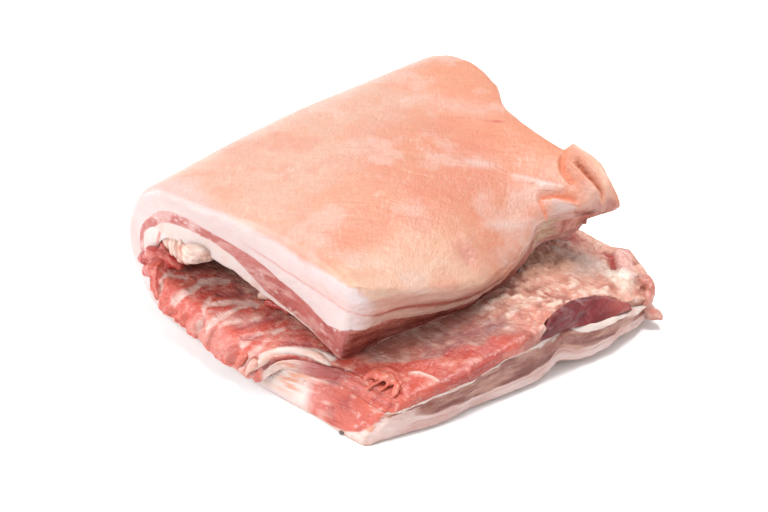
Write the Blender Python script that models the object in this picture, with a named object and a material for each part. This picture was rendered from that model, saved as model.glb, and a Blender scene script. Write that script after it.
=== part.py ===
"""A slab of pork belly folded in half, rind side out, lying on its lower half.

X runs from the fold (-X) to the two free edges (+X), Y from the near knife cut (-Y)
to the far end (+Y), and Z is up. The rind of the lower half lies flat on Z = 0, and the
origin is the middle of the slab's outline there.

The slab is one folded sheet. A place in it has three coordinates:
  u  along the fold's cross-section: 0 at the upper half's free edge, 1 where the bend
     starts, 2 where it ends, 3 at the lower half's free edge
  t  along the fold: 0 at the near cut, 1 at the far end, and below 0 on a flap that
     hangs past the near cut
  d  the depth in metres under the rind
Each layer of fat or lean is the solid between two depths.
"""

import math

import bmesh
import bpy
import numpy as np

# Driving sizes, in metres.
FOLD_HEIGHT = 0.103  # top of the fold over the table
FOLD_REACH = 0.050  # how far the fold bulges past the start of its bend
UPPER_SLOPE = 0.010  # how much the upper rind sinks from the fold to its free edge
UNDERCUT_DEPTH = 0.058  # depth at which the upper edge's slant is complete
FLAT_SHARE = 0.6  # share of the lower half's width that lies flat before its edge lifts
LAYER_GAP = 0.0003  # clearance between two layers
LOOSE_GAP = 0.0012  # clearance beside a piece that keeps to a grid of its own

# The rails below are measured from a point at the slab's near end, and the whole is then
# shifted by this much to bring its middle to the origin.
SHIFT_X, SHIFT_Y = 0.0015, -0.0243

# Rails along the fold, evenly spaced from the near cut (t = 0) to the far end (t = 1).
FOLD_START_X = (-0.097, -0.099, -0.101, -0.102, -0.101, -0.098)
RIDGE_LIFT = (0.000, 0.003, 0.005, 0.005, 0.004, 0.006)
UPPER_EDGE_X = (0.066, 0.078, 0.086, 0.080, 0.070, 0.097)
UPPER_EDGE_DROP = (0.000, 0.0175, 0.0272, 0.0325, 0.020, 0.014)
UNDERCUT = (0.012, 0.010, 0.016, 0.014, 0.004, 0.012)
LOWER_EDGE_X = (0.098, 0.108, 0.115, 0.127, 0.131, 0.149)
LOWER_EDGE_LIFT = (0.000, 0.000, 0.000, 0.003, 0.004, 0.005)

# Rails along the cross-section, at u = 0, 0.5, 1, 1.5, 2, 2.5 and 3.
NEAR_CUT_Y = (-0.088, -0.085, -0.104, -0.107, -0.110, -0.117, -0.110)
FAR_END_Y = (0.137, 0.143, 0.175, 0.167, 0.156, 0.147, 0.128)
FAR_END_DROOP = (0.000, 0.004, 0.004, 0.000, 0.000, 0.000, 0.000)

# Depth under the rind of each boundary between layers. The rows go from the near cut
# to the far end, the columns are u = 0, 0.5, 1, 1.5, 2, 2.5 and 3.
OUTER_FAT_DEPTH = (
    (0.029, 0.032, 0.025, 0.014, 0.017, 0.015, 0.013),
    (0.022, 0.030, 0.026, 0.018, 0.018, 0.018, 0.017),
    (0.012, 0.028, 0.026, 0.020, 0.018, 0.017, 0.015),
    (0.012, 0.026, 0.025, 0.020, 0.018, 0.014, 0.006),
)
MAIN_LEAN_DEPTH = (
    (0.056, 0.048, 0.032, 0.020, 0.023, 0.019, 0.016),
    (0.031, 0.044, 0.034, 0.025, 0.024, 0.024, 0.023),
    (0.020, 0.040, 0.034, 0.028, 0.024, 0.023, 0.022),
    (0.021, 0.038, 0.033, 0.028, 0.024, 0.020, 0.009),
)
SEAM_FAT_DEPTH = (
    (0.058, 0.055, 0.044, 0.034, 0.031, 0.023, 0.018),
    (0.034, 0.050, 0.044, 0.038, 0.031, 0.029, 0.027),
    (0.022, 0.047, 0.044, 0.040, 0.031, 0.028, 0.026),
    (0.025, 0.045, 0.044, 0.040, 0.030, 0.024, 0.011),
)
INNER_DEPTH = (
    (0.058, 0.055, 0.044, 0.042, 0.038, 0.029, 0.023),
    (0.034, 0.050, 0.044, 0.043, 0.040, 0.037, 0.036),
    (0.022, 0.047, 0.044, 0.043, 0.040, 0.038, 0.035),
    (0.025, 0.045, 0.044, 0.043, 0.040, 0.036, 0.015),
)

# The rib lean covers the near part of the lower half and hangs past its near cut.
RIB_U, RIB_T = (1.62, 3.0), (-1.0, 0.56)
RIB_OVERHANG = (0.0, 0.0, 0.0, 0.006, 0.013, 0.010, 0.002)
RIB_DROOP = (0.0, 0.0, 0.0, 0.000, 0.010, 0.013, 0.002)

# The flank fat covers the rest, and the flank muscle lies in a notch of its free edge.
FLANK_U, FLANK_T = (2.02, 2.84), (0.575, 1.0)
FLANK_EDGE_U = (2.99, 2.94, 2.91, 2.92, 2.94)  # along FLANK_T
MUSCLE_T = (0.59, 0.90)
MUSCLE_WIDTH_U = (0.015, 0.065, 0.075, 0.060, 0.020)  # along MUSCLE_T
MUSCLE_THICKNESS = (0.004, 0.012, 0.013, 0.010, 0.004)
MUSCLE_ROWS, MUSCLE_COLUMNS = 10, 5
MUSCLE_CLEARANCE_U = 0.006

# The upper half's far corner is curled up into a roll of rind.
CURL_LIFT = 0.010
CURL_SHARE, CURL_T = 0.78, 0.92  # where the roll's crest stands
CURL_SPREAD_SHARE, CURL_SPREAD_T = 0.16, 0.09

STEPS_PER_UNIT_U = 12
STEPS_T = 14
FLAP_ROWS = (-1.0, -0.5)

RAIL_U = 3.0  # the cross-section's rails run from u = 0 to here


def spline(values, share):
    """Catmull-Rom value at share (0 to 1) of a rail of evenly spaced values or rows."""
    values = np.asarray(values, float)
    last = len(values) - 1
    scaled = min(max(share, 0.0), 1.0) * last
    first = min(int(scaled), last - 1)
    f = scaled - first
    here, after = values[first], values[first + 1]
    before = values[first - 1] if first > 0 else 2 * here - after
    beyond = values[first + 2] if first + 2 <= last else 2 * after - here
    return 0.5 * (
        2 * here
        + (after - before) * f
        + (2 * before - 5 * here + 4 * after - beyond) * f**2
        + (3 * here - before - 3 * after + beyond) * f**3
    )


def across(rail, u):
    """Value at u of a rail along the cross-section."""
    return float(spline(rail, u / RAIL_U))


def depth_from(table):
    """A function of (u, t) that reads one of the depth tables."""
    return lambda u, t: float(spline(spline(table, t), u / RAIL_U))


def upper_point(u, t, d):
    """X and Z in the upper half."""
    share = 1 - u
    slant = spline(UNDERCUT, t) * min(d / UNDERCUT_DEPTH, 1) * share**3
    start = spline(FOLD_START_X, t)
    x = start + share * (spline(UPPER_EDGE_X, t) - slant - start)
    roll = spline(UPPER_EDGE_DROP, t) * share**5
    reach = ((share - CURL_SHARE) / CURL_SPREAD_SHARE) ** 2 + ((t - CURL_T) / CURL_SPREAD_T) ** 2
    curl = CURL_LIFT * math.exp(-reach)
    z = FOLD_HEIGHT + spline(RIDGE_LIFT, t) - UPPER_SLOPE * share**2 - roll + curl - d
    return x, z


def bend_point(u, t, d):
    """X and Z in the bend, which is half an ellipse."""
    angle = (u - 1) * math.pi
    half_height = (FOLD_HEIGHT + spline(RIDGE_LIFT, t)) / 2
    x = spline(FOLD_START_X, t) - (FOLD_REACH - d) * math.sin(angle)
    z = half_height + (half_height - d) * math.cos(angle)
    return x, z


def lower_point(u, t, d):
    """X and Z in the lower half."""
    share = u - 2
    start = spline(FOLD_START_X, t)
    x = start + share * (spline(LOWER_EDGE_X, t) - start)
    lift = max(float(spline(LOWER_EDGE_LIFT, t)), 0.0)
    z = lift * (max(share - FLAT_SHARE, 0.0) / (1 - FLAT_SHARE)) ** 3 + d
    return x, z


def place(u, t, d):
    """World position of the sheet's point (u, t, d)."""
    zone = upper_point if u <= 1 else bend_point if u < 2 else lower_point
    x, z = zone(u, t, d)
    near, far = across(NEAR_CUT_Y, u), across(FAR_END_Y, u)
    if t < 0:
        y = near + t * across(RIB_OVERHANG, u)
        z -= t**2 * across(RIB_DROOP, u)
    else:
        y = near + t * (far - near)
        z -= across(FAR_END_DROOP, u) * t**12
    return x + SHIFT_X, y + SHIFT_Y, z


def material(name, color, roughness):
    made = bpy.data.materials.new(name)
    made.use_nodes = True
    shader = made.node_tree.nodes["Principled BSDF"]
    shader.inputs["Base Color"].default_value = (*color, 1)
    shader.inputs["Roughness"].default_value = roughness
    shader.inputs["Metallic"].default_value = 0
    return made


def grid_lines(low, high, per_unit, flap=()):
    """Lines of the sheet's shared grid from low to high, so that neighbours match."""
    least = 0.3 / per_unit
    shared = [k / per_unit for k in range(math.ceil(RAIL_U * per_unit) + 1)]
    inner = [line for line in shared if max(low, 0) + least < line < high - least]
    start = [*flap, 0.0] if low < 0 else [low]
    return [*start, *inner, high]


def along(rail, t_range, t):
    """Value at t of a rail that runs over t_range."""
    return float(spline(rail, (t - t_range[0]) / (t_range[1] - t_range[0])))


def slab(name, finish, us, ts, rind_side, meat_side, gap):
    """The solid between two depths: a grid of faces, extruded once, then placed."""
    bm = bmesh.new()
    columns = len(us(ts[0]))
    bmesh.ops.create_grid(bm, x_segments=columns - 1, y_segments=len(ts) - 1, size=0.5)
    for v in bm.verts:
        v.co.x = round((v.co.x + 0.5) * (columns - 1))
        v.co.y = round((v.co.y + 0.5) * (len(ts) - 1))
    outer = list(bm.verts)
    extruded = bmesh.ops.extrude_face_region(bm, geom=bm.faces[:])["geom"]
    inner = [v for v in extruded if isinstance(v, bmesh.types.BMVert)]
    for verts, depth, step in ((outer, rind_side, gap / 2), (inner, meat_side, -gap / 2)):
        for v in verts:
            t = ts[int(v.co.y)]
            u = us(t)[int(v.co.x)]
            v.co = place(u, t, depth(u, max(t, 0.0)) + step)
    bmesh.ops.recalc_face_normals(bm, faces=bm.faces)
    if bm.calc_volume(signed=True) < 0:
        bmesh.ops.reverse_faces(bm, faces=bm.faces)
    mesh = bpy.data.meshes.new(name)
    bm.to_mesh(mesh)
    bm.free()
    mesh.materials.append(finish)
    mesh.shade_smooth()
    mesh.set_sharp_from_angle(angle=math.radians(40))
    made = bpy.data.objects.new(name, mesh)
    bpy.context.scene.collection.objects.link(made)


def layer(name, finish, rind_side, meat_side, u_range=(0.0, 3.0), t_range=(0.0, 1.0)):
    """A layer on the sheet's shared grid."""
    us = grid_lines(*u_range, STEPS_PER_UNIT_U)
    ts = grid_lines(*t_range, STEPS_T, FLAP_ROWS)
    slab(name, finish, lambda t: us, ts, rind_side, meat_side, LAYER_GAP)


def flank_edge(t):
    return along(FLANK_EDGE_U, FLANK_T, t)


def flank_fat(finish, seam_fat, inner):
    """The fat over the far part of the lower half, its free edge notched for the muscle."""
    us = grid_lines(*FLANK_U, STEPS_PER_UNIT_U)
    ts = grid_lines(*FLANK_T, STEPS_T)
    slab("flank_fat", finish, lambda t: [*us, flank_edge(t)], ts, seam_fat, inner, LOOSE_GAP)


def flank_muscle(finish, seam_fat):
    """A lens-shaped strip of dark muscle in the notch of the flank fat."""

    def us(t):
        start = flank_edge(t) + MUSCLE_CLEARANCE_U
        width = along(MUSCLE_WIDTH_U, MUSCLE_T, t)
        return [start + width * k / MUSCLE_COLUMNS for k in range(MUSCLE_COLUMNS + 1)]

    def top(u, t):
        row = us(t)
        share = (u - row[0]) / (row[-1] - row[0])
        crown = 0.45 + 0.55 * math.sin(math.pi * min(max(share, 0.0), 1.0)) ** 0.7
        return seam_fat(u, t) + along(MUSCLE_THICKNESS, MUSCLE_T, t) * crown

    step = (MUSCLE_T[1] - MUSCLE_T[0]) / MUSCLE_ROWS
    ts = [MUSCLE_T[0] + step * k for k in range(MUSCLE_ROWS + 1)]
    slab("flank_muscle", finish, us, ts, seam_fat, top, LOOSE_GAP)


def rind_depth(u, t):
    """The rind's own depth, less the gap that every layer adds."""
    return -LAYER_GAP / 2


def main():
    for old in list(bpy.data.objects):
        bpy.data.objects.remove(old)
    outer_fat, main_lean = depth_from(OUTER_FAT_DEPTH), depth_from(MAIN_LEAN_DEPTH)
    seam_fat, inner = depth_from(SEAM_FAT_DEPTH), depth_from(INNER_DEPTH)
    fat_finish = material("rind_and_fat", (0.90, 0.66, 0.58), 0.45)
    lean_finish = material("dusky_lean", (0.55, 0.22, 0.20), 0.45)
    seam_finish = material("seam_fat", (0.90, 0.74, 0.66), 0.45)
    rib_finish = material("red_lean", (0.62, 0.12, 0.09), 0.35)
    flank_finish = material("flank_fat", (0.82, 0.58, 0.48), 0.45)
    muscle_finish = material("dark_lean", (0.30, 0.10, 0.12), 0.30)
    layer("outer_fat", fat_finish, rind_depth, outer_fat)
    layer("main_lean", lean_finish, outer_fat, main_lean)
    layer("seam_fat", seam_finish, main_lean, seam_fat)
    layer("rib_lean", rib_finish, seam_fat, inner, RIB_U, RIB_T)
    flank_fat(flank_finish, seam_fat, inner)
    flank_muscle(muscle_finish, seam_fat)


main()
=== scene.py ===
import math
import bmesh
import bpy
import numpy as np
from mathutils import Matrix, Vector
from mathutils.geometry import delaunay_2d_cdt


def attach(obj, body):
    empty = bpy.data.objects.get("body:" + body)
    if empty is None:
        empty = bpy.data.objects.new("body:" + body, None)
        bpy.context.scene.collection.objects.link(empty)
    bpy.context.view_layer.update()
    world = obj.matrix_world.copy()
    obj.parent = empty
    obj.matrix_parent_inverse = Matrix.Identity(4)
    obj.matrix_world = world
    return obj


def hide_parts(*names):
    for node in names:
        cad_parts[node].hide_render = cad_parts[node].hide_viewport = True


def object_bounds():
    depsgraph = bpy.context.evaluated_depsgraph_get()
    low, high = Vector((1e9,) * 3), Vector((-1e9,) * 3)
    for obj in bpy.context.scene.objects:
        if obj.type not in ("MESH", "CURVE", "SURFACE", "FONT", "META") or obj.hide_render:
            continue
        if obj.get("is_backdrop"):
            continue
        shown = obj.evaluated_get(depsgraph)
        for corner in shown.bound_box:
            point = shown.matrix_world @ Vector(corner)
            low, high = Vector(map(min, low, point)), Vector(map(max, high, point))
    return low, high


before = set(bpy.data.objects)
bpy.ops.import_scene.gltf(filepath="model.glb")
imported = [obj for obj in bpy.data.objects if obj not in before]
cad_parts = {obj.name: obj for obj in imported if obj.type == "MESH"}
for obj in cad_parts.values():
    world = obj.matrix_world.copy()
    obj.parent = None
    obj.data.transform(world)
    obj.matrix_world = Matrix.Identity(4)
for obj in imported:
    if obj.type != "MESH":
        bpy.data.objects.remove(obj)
cad_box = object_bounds()

# ---------------------------------------------------------------- the folded sheet
# A place in the slab is (u, t, d): u across the fold (0 upper free edge, 1 and 2 the ends
# of the bend, 3 lower free edge), t along it (0 near cut, 1 far end, below 0 on the rib
# lean's overhang), and d the depth in metres under the rind.
FOLD_HEIGHT, FOLD_REACH, UPPER_SLOPE, UNDERCUT_DEPTH = 0.103, 0.050, 0.010, 0.058
FLAT_SHARE, SHIFT_X, SHIFT_Y = 0.6, 0.0015, -0.0243
FOLD_START_X = (-0.097, -0.099, -0.101, -0.102, -0.101, -0.098)
RIDGE_LIFT = (0.000, 0.003, 0.005, 0.005, 0.004, 0.006)
UPPER_EDGE_X = (0.066, 0.078, 0.086, 0.080, 0.070, 0.097)
UPPER_EDGE_DROP = (0.000, 0.0175, 0.0272, 0.0325, 0.020, 0.014)
UNDERCUT = (0.012, 0.010, 0.016, 0.014, 0.004, 0.012)
LOWER_EDGE_X = (0.098, 0.108, 0.115, 0.127, 0.131, 0.149)
LOWER_EDGE_LIFT = (0.000, 0.000, 0.000, 0.003, 0.004, 0.005)
NEAR_CUT_Y = (-0.088, -0.085, -0.104, -0.107, -0.110, -0.117, -0.110)
FAR_END_Y = (0.137, 0.143, 0.175, 0.167, 0.156, 0.147, 0.128)
FAR_END_DROOP = (0.000, 0.004, 0.004, 0.000, 0.000, 0.000, 0.000)
OUTER = (
    (0.029, 0.032, 0.025, 0.014, 0.017, 0.015, 0.013),
    (0.022, 0.030, 0.026, 0.018, 0.018, 0.018, 0.017),
    (0.012, 0.028, 0.026, 0.020, 0.018, 0.017, 0.015),
    (0.012, 0.026, 0.025, 0.020, 0.018, 0.014, 0.006),
)
LEAN = (
    (0.056, 0.048, 0.032, 0.020, 0.023, 0.019, 0.016),
    (0.031, 0.044, 0.034, 0.025, 0.024, 0.024, 0.023),
    (0.020, 0.040, 0.034, 0.028, 0.024, 0.023, 0.022),
    (0.021, 0.038, 0.033, 0.028, 0.024, 0.020, 0.009),
)
SEAM = (
    (0.058, 0.055, 0.044, 0.034, 0.031, 0.023, 0.018),
    (0.034, 0.050, 0.044, 0.038, 0.031, 0.029, 0.027),
    (0.022, 0.047, 0.044, 0.040, 0.031, 0.028, 0.026),
    (0.025, 0.045, 0.044, 0.040, 0.030, 0.024, 0.011),
)
INNER = (
    (0.058, 0.055, 0.044, 0.042, 0.038, 0.029, 0.023),
    (0.034, 0.050, 0.044, 0.043, 0.040, 0.037, 0.036),
    (0.022, 0.047, 0.044, 0.043, 0.040, 0.038, 0.035),
    (0.025, 0.045, 0.044, 0.043, 0.040, 0.036, 0.015),
)
RIB_U, RIB_T = (1.62, 3.0), (-1.0, 0.56)
RIB_OVERHANG = (0.0, 0.0, 0.0, 0.006, 0.013, 0.010, 0.002)
RIB_DROOP = (0.0, 0.0, 0.0, 0.000, 0.010, 0.013, 0.002)
FLANK_U, FLANK_T = (2.02, 2.84), (0.575, 1.0)
FLANK_RIM_U = (2.985, 2.95, 2.94, 2.965, 2.992)
MUSCLE_SPAN = (0.53, 0.895)
MUSCLE_REACH_U = (0.008, 0.046, 0.056, 0.050, 0.020)
MUSCLE_THICKNESS = (0.004, 0.012, 0.013, 0.010, 0.004)
# About how wide and long the unfolded sheet is for each unit of u and of t, in metres.
SHEET_SIZE = np.array((0.19, 0.27))


def rail(values, s):
    """Catmull-Rom value at s (0 to 1) of evenly spaced values, or of one row a point."""
    v = np.asarray(values, float)
    last = v.shape[-1] - 1
    x = np.clip(s, 0, 1) * last
    i = np.minimum(x.astype(int), last - 1)
    f = x - i
    if v.ndim == 1:
        at = lambda k: v[np.clip(k, 0, last)]
    else:
        at = lambda k: np.take_along_axis(v, np.clip(k, 0, last)[:, None], 1)[:, 0]
    b, c = at(i), at(i + 1)
    a = np.where(i > 0, at(i - 1), 2 * b - c)
    e = np.where(i + 2 <= last, at(i + 2), 2 * c - b)
    return 0.5 * (2 * b + (c - a) * f + (2 * a - 5 * b + 4 * c - e) * f**2 + (3 * b - a - 3 * c + e) * f**3)


def stacked(*parts):
    """Coordinates given one by one, as rows."""
    return np.stack(parts, -1)


def depth(table, u, t):
    """Depth in metres of a layer's face at (u, t), from its table of four rows along t."""
    rows = np.stack([rail([row[k] for row in table], np.maximum(t, 0)) for k in range(7)], -1)
    return rail(rows, u / 3)


def place(u, t, d):
    """World positions (n, 3) of points of the plain folded sheet."""
    tc = np.clip(t, 0, 1)
    start, top = rail(FOLD_START_X, tc), FOLD_HEIGHT + rail(RIDGE_LIFT, tc)
    share = 1 - np.minimum(u, 1)
    slant = rail(UNDERCUT, tc) * np.clip(d / UNDERCUT_DEPTH, 0, 1) * share**3
    x_up = start + share * (rail(UPPER_EDGE_X, tc) - slant - start)
    z_up = top - UPPER_SLOPE * share**2 - rail(UPPER_EDGE_DROP, tc) * share**5 - d
    angle = np.clip(u - 1, 0, 1) * math.pi
    x_bend = start - (FOLD_REACH - d) * np.sin(angle)
    z_bend = top / 2 + (top / 2 - d) * np.cos(angle)
    low = np.maximum(u, 2) - 2
    x_low = start + low * (rail(LOWER_EDGE_X, tc) - start)
    lift = np.maximum(rail(LOWER_EDGE_LIFT, tc), 0)
    z_low = lift * (np.maximum(low - FLAT_SHARE, 0) / (1 - FLAT_SHARE)) ** 3 + d
    x = np.where(u <= 1, x_up, np.where(u < 2, x_bend, x_low))
    z = np.where(u <= 1, z_up, np.where(u < 2, z_bend, z_low))
    near, far = rail(NEAR_CUT_Y, u / 3), rail(FAR_END_Y, u / 3)
    flap = np.minimum(t, 0)
    y = near + np.maximum(t, 0) * (far - near) + flap * rail(RIB_OVERHANG, u / 3)
    z = z - flap**2 * rail(RIB_DROOP, u / 3) - rail(FAR_END_DROOP, u / 3) * np.maximum(t, 0) ** 12
    return stacked(x + SHIFT_X, y + SHIFT_Y, z)


# ---------------------------------------------------------------- patterns in space
def hashed(i, j, k, seed):
    """A steady random number, 0 to 1, for each whole-numbered cell."""
    h = (i * 73856093) ^ (j * 19349663) ^ (k * 83492791) ^ (seed * 2654435761 & 0x7FFFFFFF)
    h = (h ^ (h >> 13)) * 1274126177 & 0x7FFFFFFF
    h = (h ^ (h >> 16)) * 668265263 & 0x7FFFFFFF
    return ((h ^ (h >> 15)) & 0xFFFFFF) / 0xFFFFFF


def noise(p, size, seed=0):
    """Smooth noise from -1 to 1 whose lumps are about size across."""
    q = p / size
    i = np.floor(q).astype(np.int64)
    f = q - i
    f = f * f * f * (f * (f * 6 - 15) + 10)
    total = 0
    for a in (0, 1):
        for b in (0, 1):
            for c in (0, 1):
                share = [f[:, k] if side else 1 - f[:, k] for k, side in enumerate((a, b, c))]
                corner = hashed(i[:, 0] + a, i[:, 1] + b, i[:, 2] + c, seed)
                total = total + share[0] * share[1] * share[2] * corner
    return total * 2 - 1


def fbm(p, size, octaves=4, seed=0, gain=0.5):
    """Noise at several sizes summed, the largest about size metres across."""
    total, scale, weight = 0, 1.0, 1.0
    for o in range(octaves):
        total = total + weight * noise(p, size * scale, seed + 17 * o)
        scale, weight = scale / 2.03, weight * gain
    return total * (1 - gain)


def cells(p, size, seed=0):
    """Distances to the nearest and next nearest scattered point, in cell sizes."""
    q = p / size
    i = np.floor(q).astype(np.int64)
    near = np.full(len(p), 9.0)
    second = np.full(len(p), 9.0)
    for a in (-1, 0, 1):
        for b in (-1, 0, 1):
            for c in (-1, 0, 1):
                n = i + (a, b, c)
                spot = stacked(*(n[:, k] + hashed(*n.T, seed + 31 * k) for k in range(3)))
                far = np.linalg.norm(q - spot, axis=1)
                second = np.minimum(second, np.maximum(near, far))
                near = np.minimum(near, far)
    return near, second


def ramp(x, low, high):
    """0 at low, 1 at high, smooth between them; low may be the larger."""
    s = np.clip((x - low) / (high - low), 0, 1)
    return s * s * (3 - 2 * s)


def from_mm(x, places, values):
    """Metres at x, straight between values in millimetres at rising places."""
    return np.interp(x, places, values) / 1000


def bell(x, width):
    """1 where x is 0, falling to 0 on both sides over about width."""
    return np.exp(-((x / width) ** 2))


def fade(x, reach):
    """1 where x is 0, dying away over about reach."""
    return np.exp(-x / reach)


def line(p, *points):
    """Distance, side and share along a polyline through 2-D points, in millimetres."""
    v = np.array(points, float) / 1000
    best = np.full(len(p), 9.0)
    side = np.zeros(len(p))
    share = np.zeros(len(p))
    for k in range(len(v) - 1):
        edge = v[k + 1] - v[k]
        s = np.clip(((p - v[k]) @ edge) / (edge @ edge), 0, 1)
        gap = p - v[k] - s[:, None] * edge
        far = np.linalg.norm(gap, axis=1)
        closer = far < best
        best = np.where(closer, far, best)
        side = np.where(closer, np.sign(edge[0] * gap[:, 1] - edge[1] * gap[:, 0]), side)
        share = np.where(closer, (k + s) / (len(v) - 1), share)
    return best * 1000, side, share


def ridge(p, points, width, taper=0.15):
    """1 on the polyline, falling to 0 over width millimetres, fading at its two ends."""
    far, _, share = line(p, *points)
    ends = ramp(share, -1e-6, taper) * ramp(1 - share, -1e-6, taper)
    return bell(far, width) * ends


def blob(p, x, y, rx, ry=None, turn=0.0):
    """1 at a point in millimetres, falling to 0 over its radii."""
    ry = ry or rx
    c, s = math.cos(math.radians(turn)), math.sin(math.radians(turn))
    a, b = p[:, 0] * 1000 - x, p[:, 1] * 1000 - y
    return np.exp(-(((a * c + b * s) / rx) ** 2 + ((b * c - a * s) / ry) ** 2))


def mix(a, b, f):
    """Colour a turned towards b by the share f, which may differ from point to point."""
    f = np.clip(np.asarray(f, float), 0, 1)
    f = f[:, None] if f.ndim else f
    return a * (1 - f) + np.asarray(b) * f


ALBEDO = 0.52  # albedo that reads as full white under this scene's light


def rgb(r, g, b):
    """Linear albedo of a colour given as it reads in full studio light, from 11 to 255."""
    return ALBEDO * np.array([((c / 255 + 0.055) / 1.055) ** 2.4 for c in (r, g, b)])


# ---------------------------------------------------------------- closed pieces
def steps(low, high, step, fine_low=0.0, fine_high=0.0):
    """Values from low to high about a step apart, with closer ones near a fine end."""
    inner = list(np.linspace(low, high, max(int(round((high - low) / step)), 1) + 1))
    extra = [low + fine_low * k for k in (0.15, 0.4, 0.7)] if fine_low else []
    extra += [high - fine_high * k for k in (0.15, 0.4, 0.7)] if fine_high else []
    kept = [v for v in inner if all(abs(v - e) > 0.25 * step for e in extra) or v in (low, high)]
    return np.array(sorted(kept + extra))


COARSE_STEP = 0.012  # spacing of a hidden sheet's few inner points


def coarse_sheet(border):
    """Points and triangles that fill a closed border (n, 2), in metres, with few points."""
    low, high = border.min(0), border.max(0)
    lines = [np.arange(low[k] + COARSE_STEP / 2, high[k], COARSE_STEP) for k in range(2)]
    inner = np.stack([a.ravel() for a in np.meshgrid(*lines)], -1)
    gaps = ((inner[:, None] - border) ** 2).sum(-1).min(1)
    inner = inner[gaps > (COARSE_STEP * 0.5) ** 2]
    points = [Vector(p) for p in (*border, *inner)]
    made = delaunay_2d_cdt(points, [], [list(range(len(border)))], 1, 1e-9)
    source = [origin[0] if origin else -1 for origin in made[3]]
    faces = [[source[k] for k in face] for face in made[2]]
    return np.array([p[:] for p in points]), [face for face in faces if min(face) >= 0]


# Which of a body's materials a face wears: the rind side's 0, the meat side's 1, the walls' 2,
# and 3 what is set apart. Where a body has fewer materials, the last one serves for the rest.
WALL, APART = 2, 3
BOX_MARGIN = 2e-5  # the visual model stays this far inside the CAD's outer box
ON_FLOOR = 3e-5    # what is lower than this lies flat on the floor
WELD = 1e-6        # points closer than this are one point


class Piece:
    """A closed body over a grid of (u, t): two sheets, rind side and meat side, and the
    walls between them. A sheet that nothing shows is filled coarsely from its border."""

    def __init__(self, u, t, rind_side, meat_side, rows, fine_rind=True, fine_meat=True):
        nt, nu = u.shape
        grid = np.arange(nt * nu).reshape(nt, nu)
        ring = np.concatenate([grid[0, :], grid[1:, -1], grid[-1, -2::-1], grid[-2:0:-1, 0]])
        quads = stacked(grid[:-1, :-1], grid[:-1, 1:], grid[1:, 1:], grid[1:, :-1]).reshape(-1, 4)
        sheet = stacked(u.ravel(), t.ravel())
        places, shares, rings = [], [], []
        self.faces, self.tags, self.hidden, self.extra = [], [], [], []
        count = 0
        for w, fine in ((0, fine_rind), (1, fine_meat)):
            if fine:
                where, faces, own = sheet, quads.tolist(), ring + count
            else:
                where, faces = coarse_sheet(sheet[ring] * SHEET_SIZE)
                where, own = where / SHEET_SIZE, np.arange(len(ring)) + count
                self.hidden.append(set(own.tolist()))
            order = 1 if w else -1
            self.faces += [[k + count for k in face[::order]] for face in faces]
            self.tags += [w] * len(faces)
            places.append(where)
            shares.append(np.full(len(where), float(w)))
            rings.append(own)
            count += len(where)
        levels = rings[:1]
        for w in rows[1:-1]:
            places.append(sheet[ring])
            shares.append(np.full(len(ring), w))
            levels.append(np.arange(len(ring)) + count)
            count += len(ring)
        levels.append(rings[1])
        for upper, lower in zip(levels[:-1], levels[1:]):
            self.faces += stacked(upper, np.roll(upper, -1), np.roll(lower, -1), lower).tolist()
            self.tags += [WALL] * len(ring)
        self.u, self.t = (np.ascontiguousarray(a) for a in np.concatenate(places).T)
        self.w = np.concatenate(shares)
        self.low, self.high = rind_side(self.u, self.t), meat_side(self.u, self.t)
        self.d = self.low + (self.high - self.low) * self.w

    def add(self, shape, colour, material=0):
        """Adds a small closed lump or strand, (points, faces), to the finished body."""
        points, faces = shape
        tint = colour if np.ndim(colour) == 2 else np.tile(colour, (len(points), 1))
        self.extra.append((points, faces, tint, material))

    def build(self, name, node, points, tint, dullness, materials):
        dullness = dullness + np.zeros(len(points))
        for more, faces, colour, material in self.extra:
            self.faces += [[k + len(points) for k in f] for f in faces]
            self.tags += [material] * len(faces)
            points, tint = np.concatenate([points, more]), np.concatenate([tint, colour])
            dullness = np.concatenate([dullness, np.zeros(len(more))])
        points = np.clip(points, np.array(cad_box[0]) + BOX_MARGIN, np.array(cad_box[1]) - BOX_MARGIN)
        points[:, 2] = np.where(points[:, 2] < ON_FLOOR, 0.0, points[:, 2])
        mesh = bpy.data.meshes.new(name)
        mesh.from_pydata(points.tolist(), [], self.faces)
        colour = mesh.attributes.new("tint", "FLOAT_COLOR", "POINT")
        rgba = np.concatenate([np.clip(tint, 0.002, 1), np.ones((len(tint), 1))], 1)
        colour.data.foreach_set("color", rgba.astype(np.float32).ravel())
        dull = mesh.attributes.new("dull", "FLOAT", "POINT")
        dull.data.foreach_set("value", np.clip(dullness, 0, 1).astype(np.float32))
        for m in materials:
            mesh.materials.append(m)
        index = [min(tag, len(materials) - 1) for tag in self.tags]
        mesh.polygons.foreach_set("material_index", index)
        mesh.validate()
        mesh.shade_smooth()
        work = bmesh.new()
        work.from_mesh(mesh)
        bmesh.ops.recalc_face_normals(work, faces=work.faces)
        # Shading doesn't run over the edge of a hidden sheet, which would darken the joint.
        for edge in work.edges:
            a, b = (v.index for v in edge.verts)
            if any(a in ring and b in ring for ring in self.hidden):
                edge.smooth = False
        bmesh.ops.remove_doubles(work, verts=work.verts, dist=WELD)
        work.to_mesh(mesh)
        work.free()
        made = bpy.data.objects.new(name, mesh)
        bpy.context.scene.collection.objects.link(made)
        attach(made, "root")
        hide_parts(node)


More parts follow.
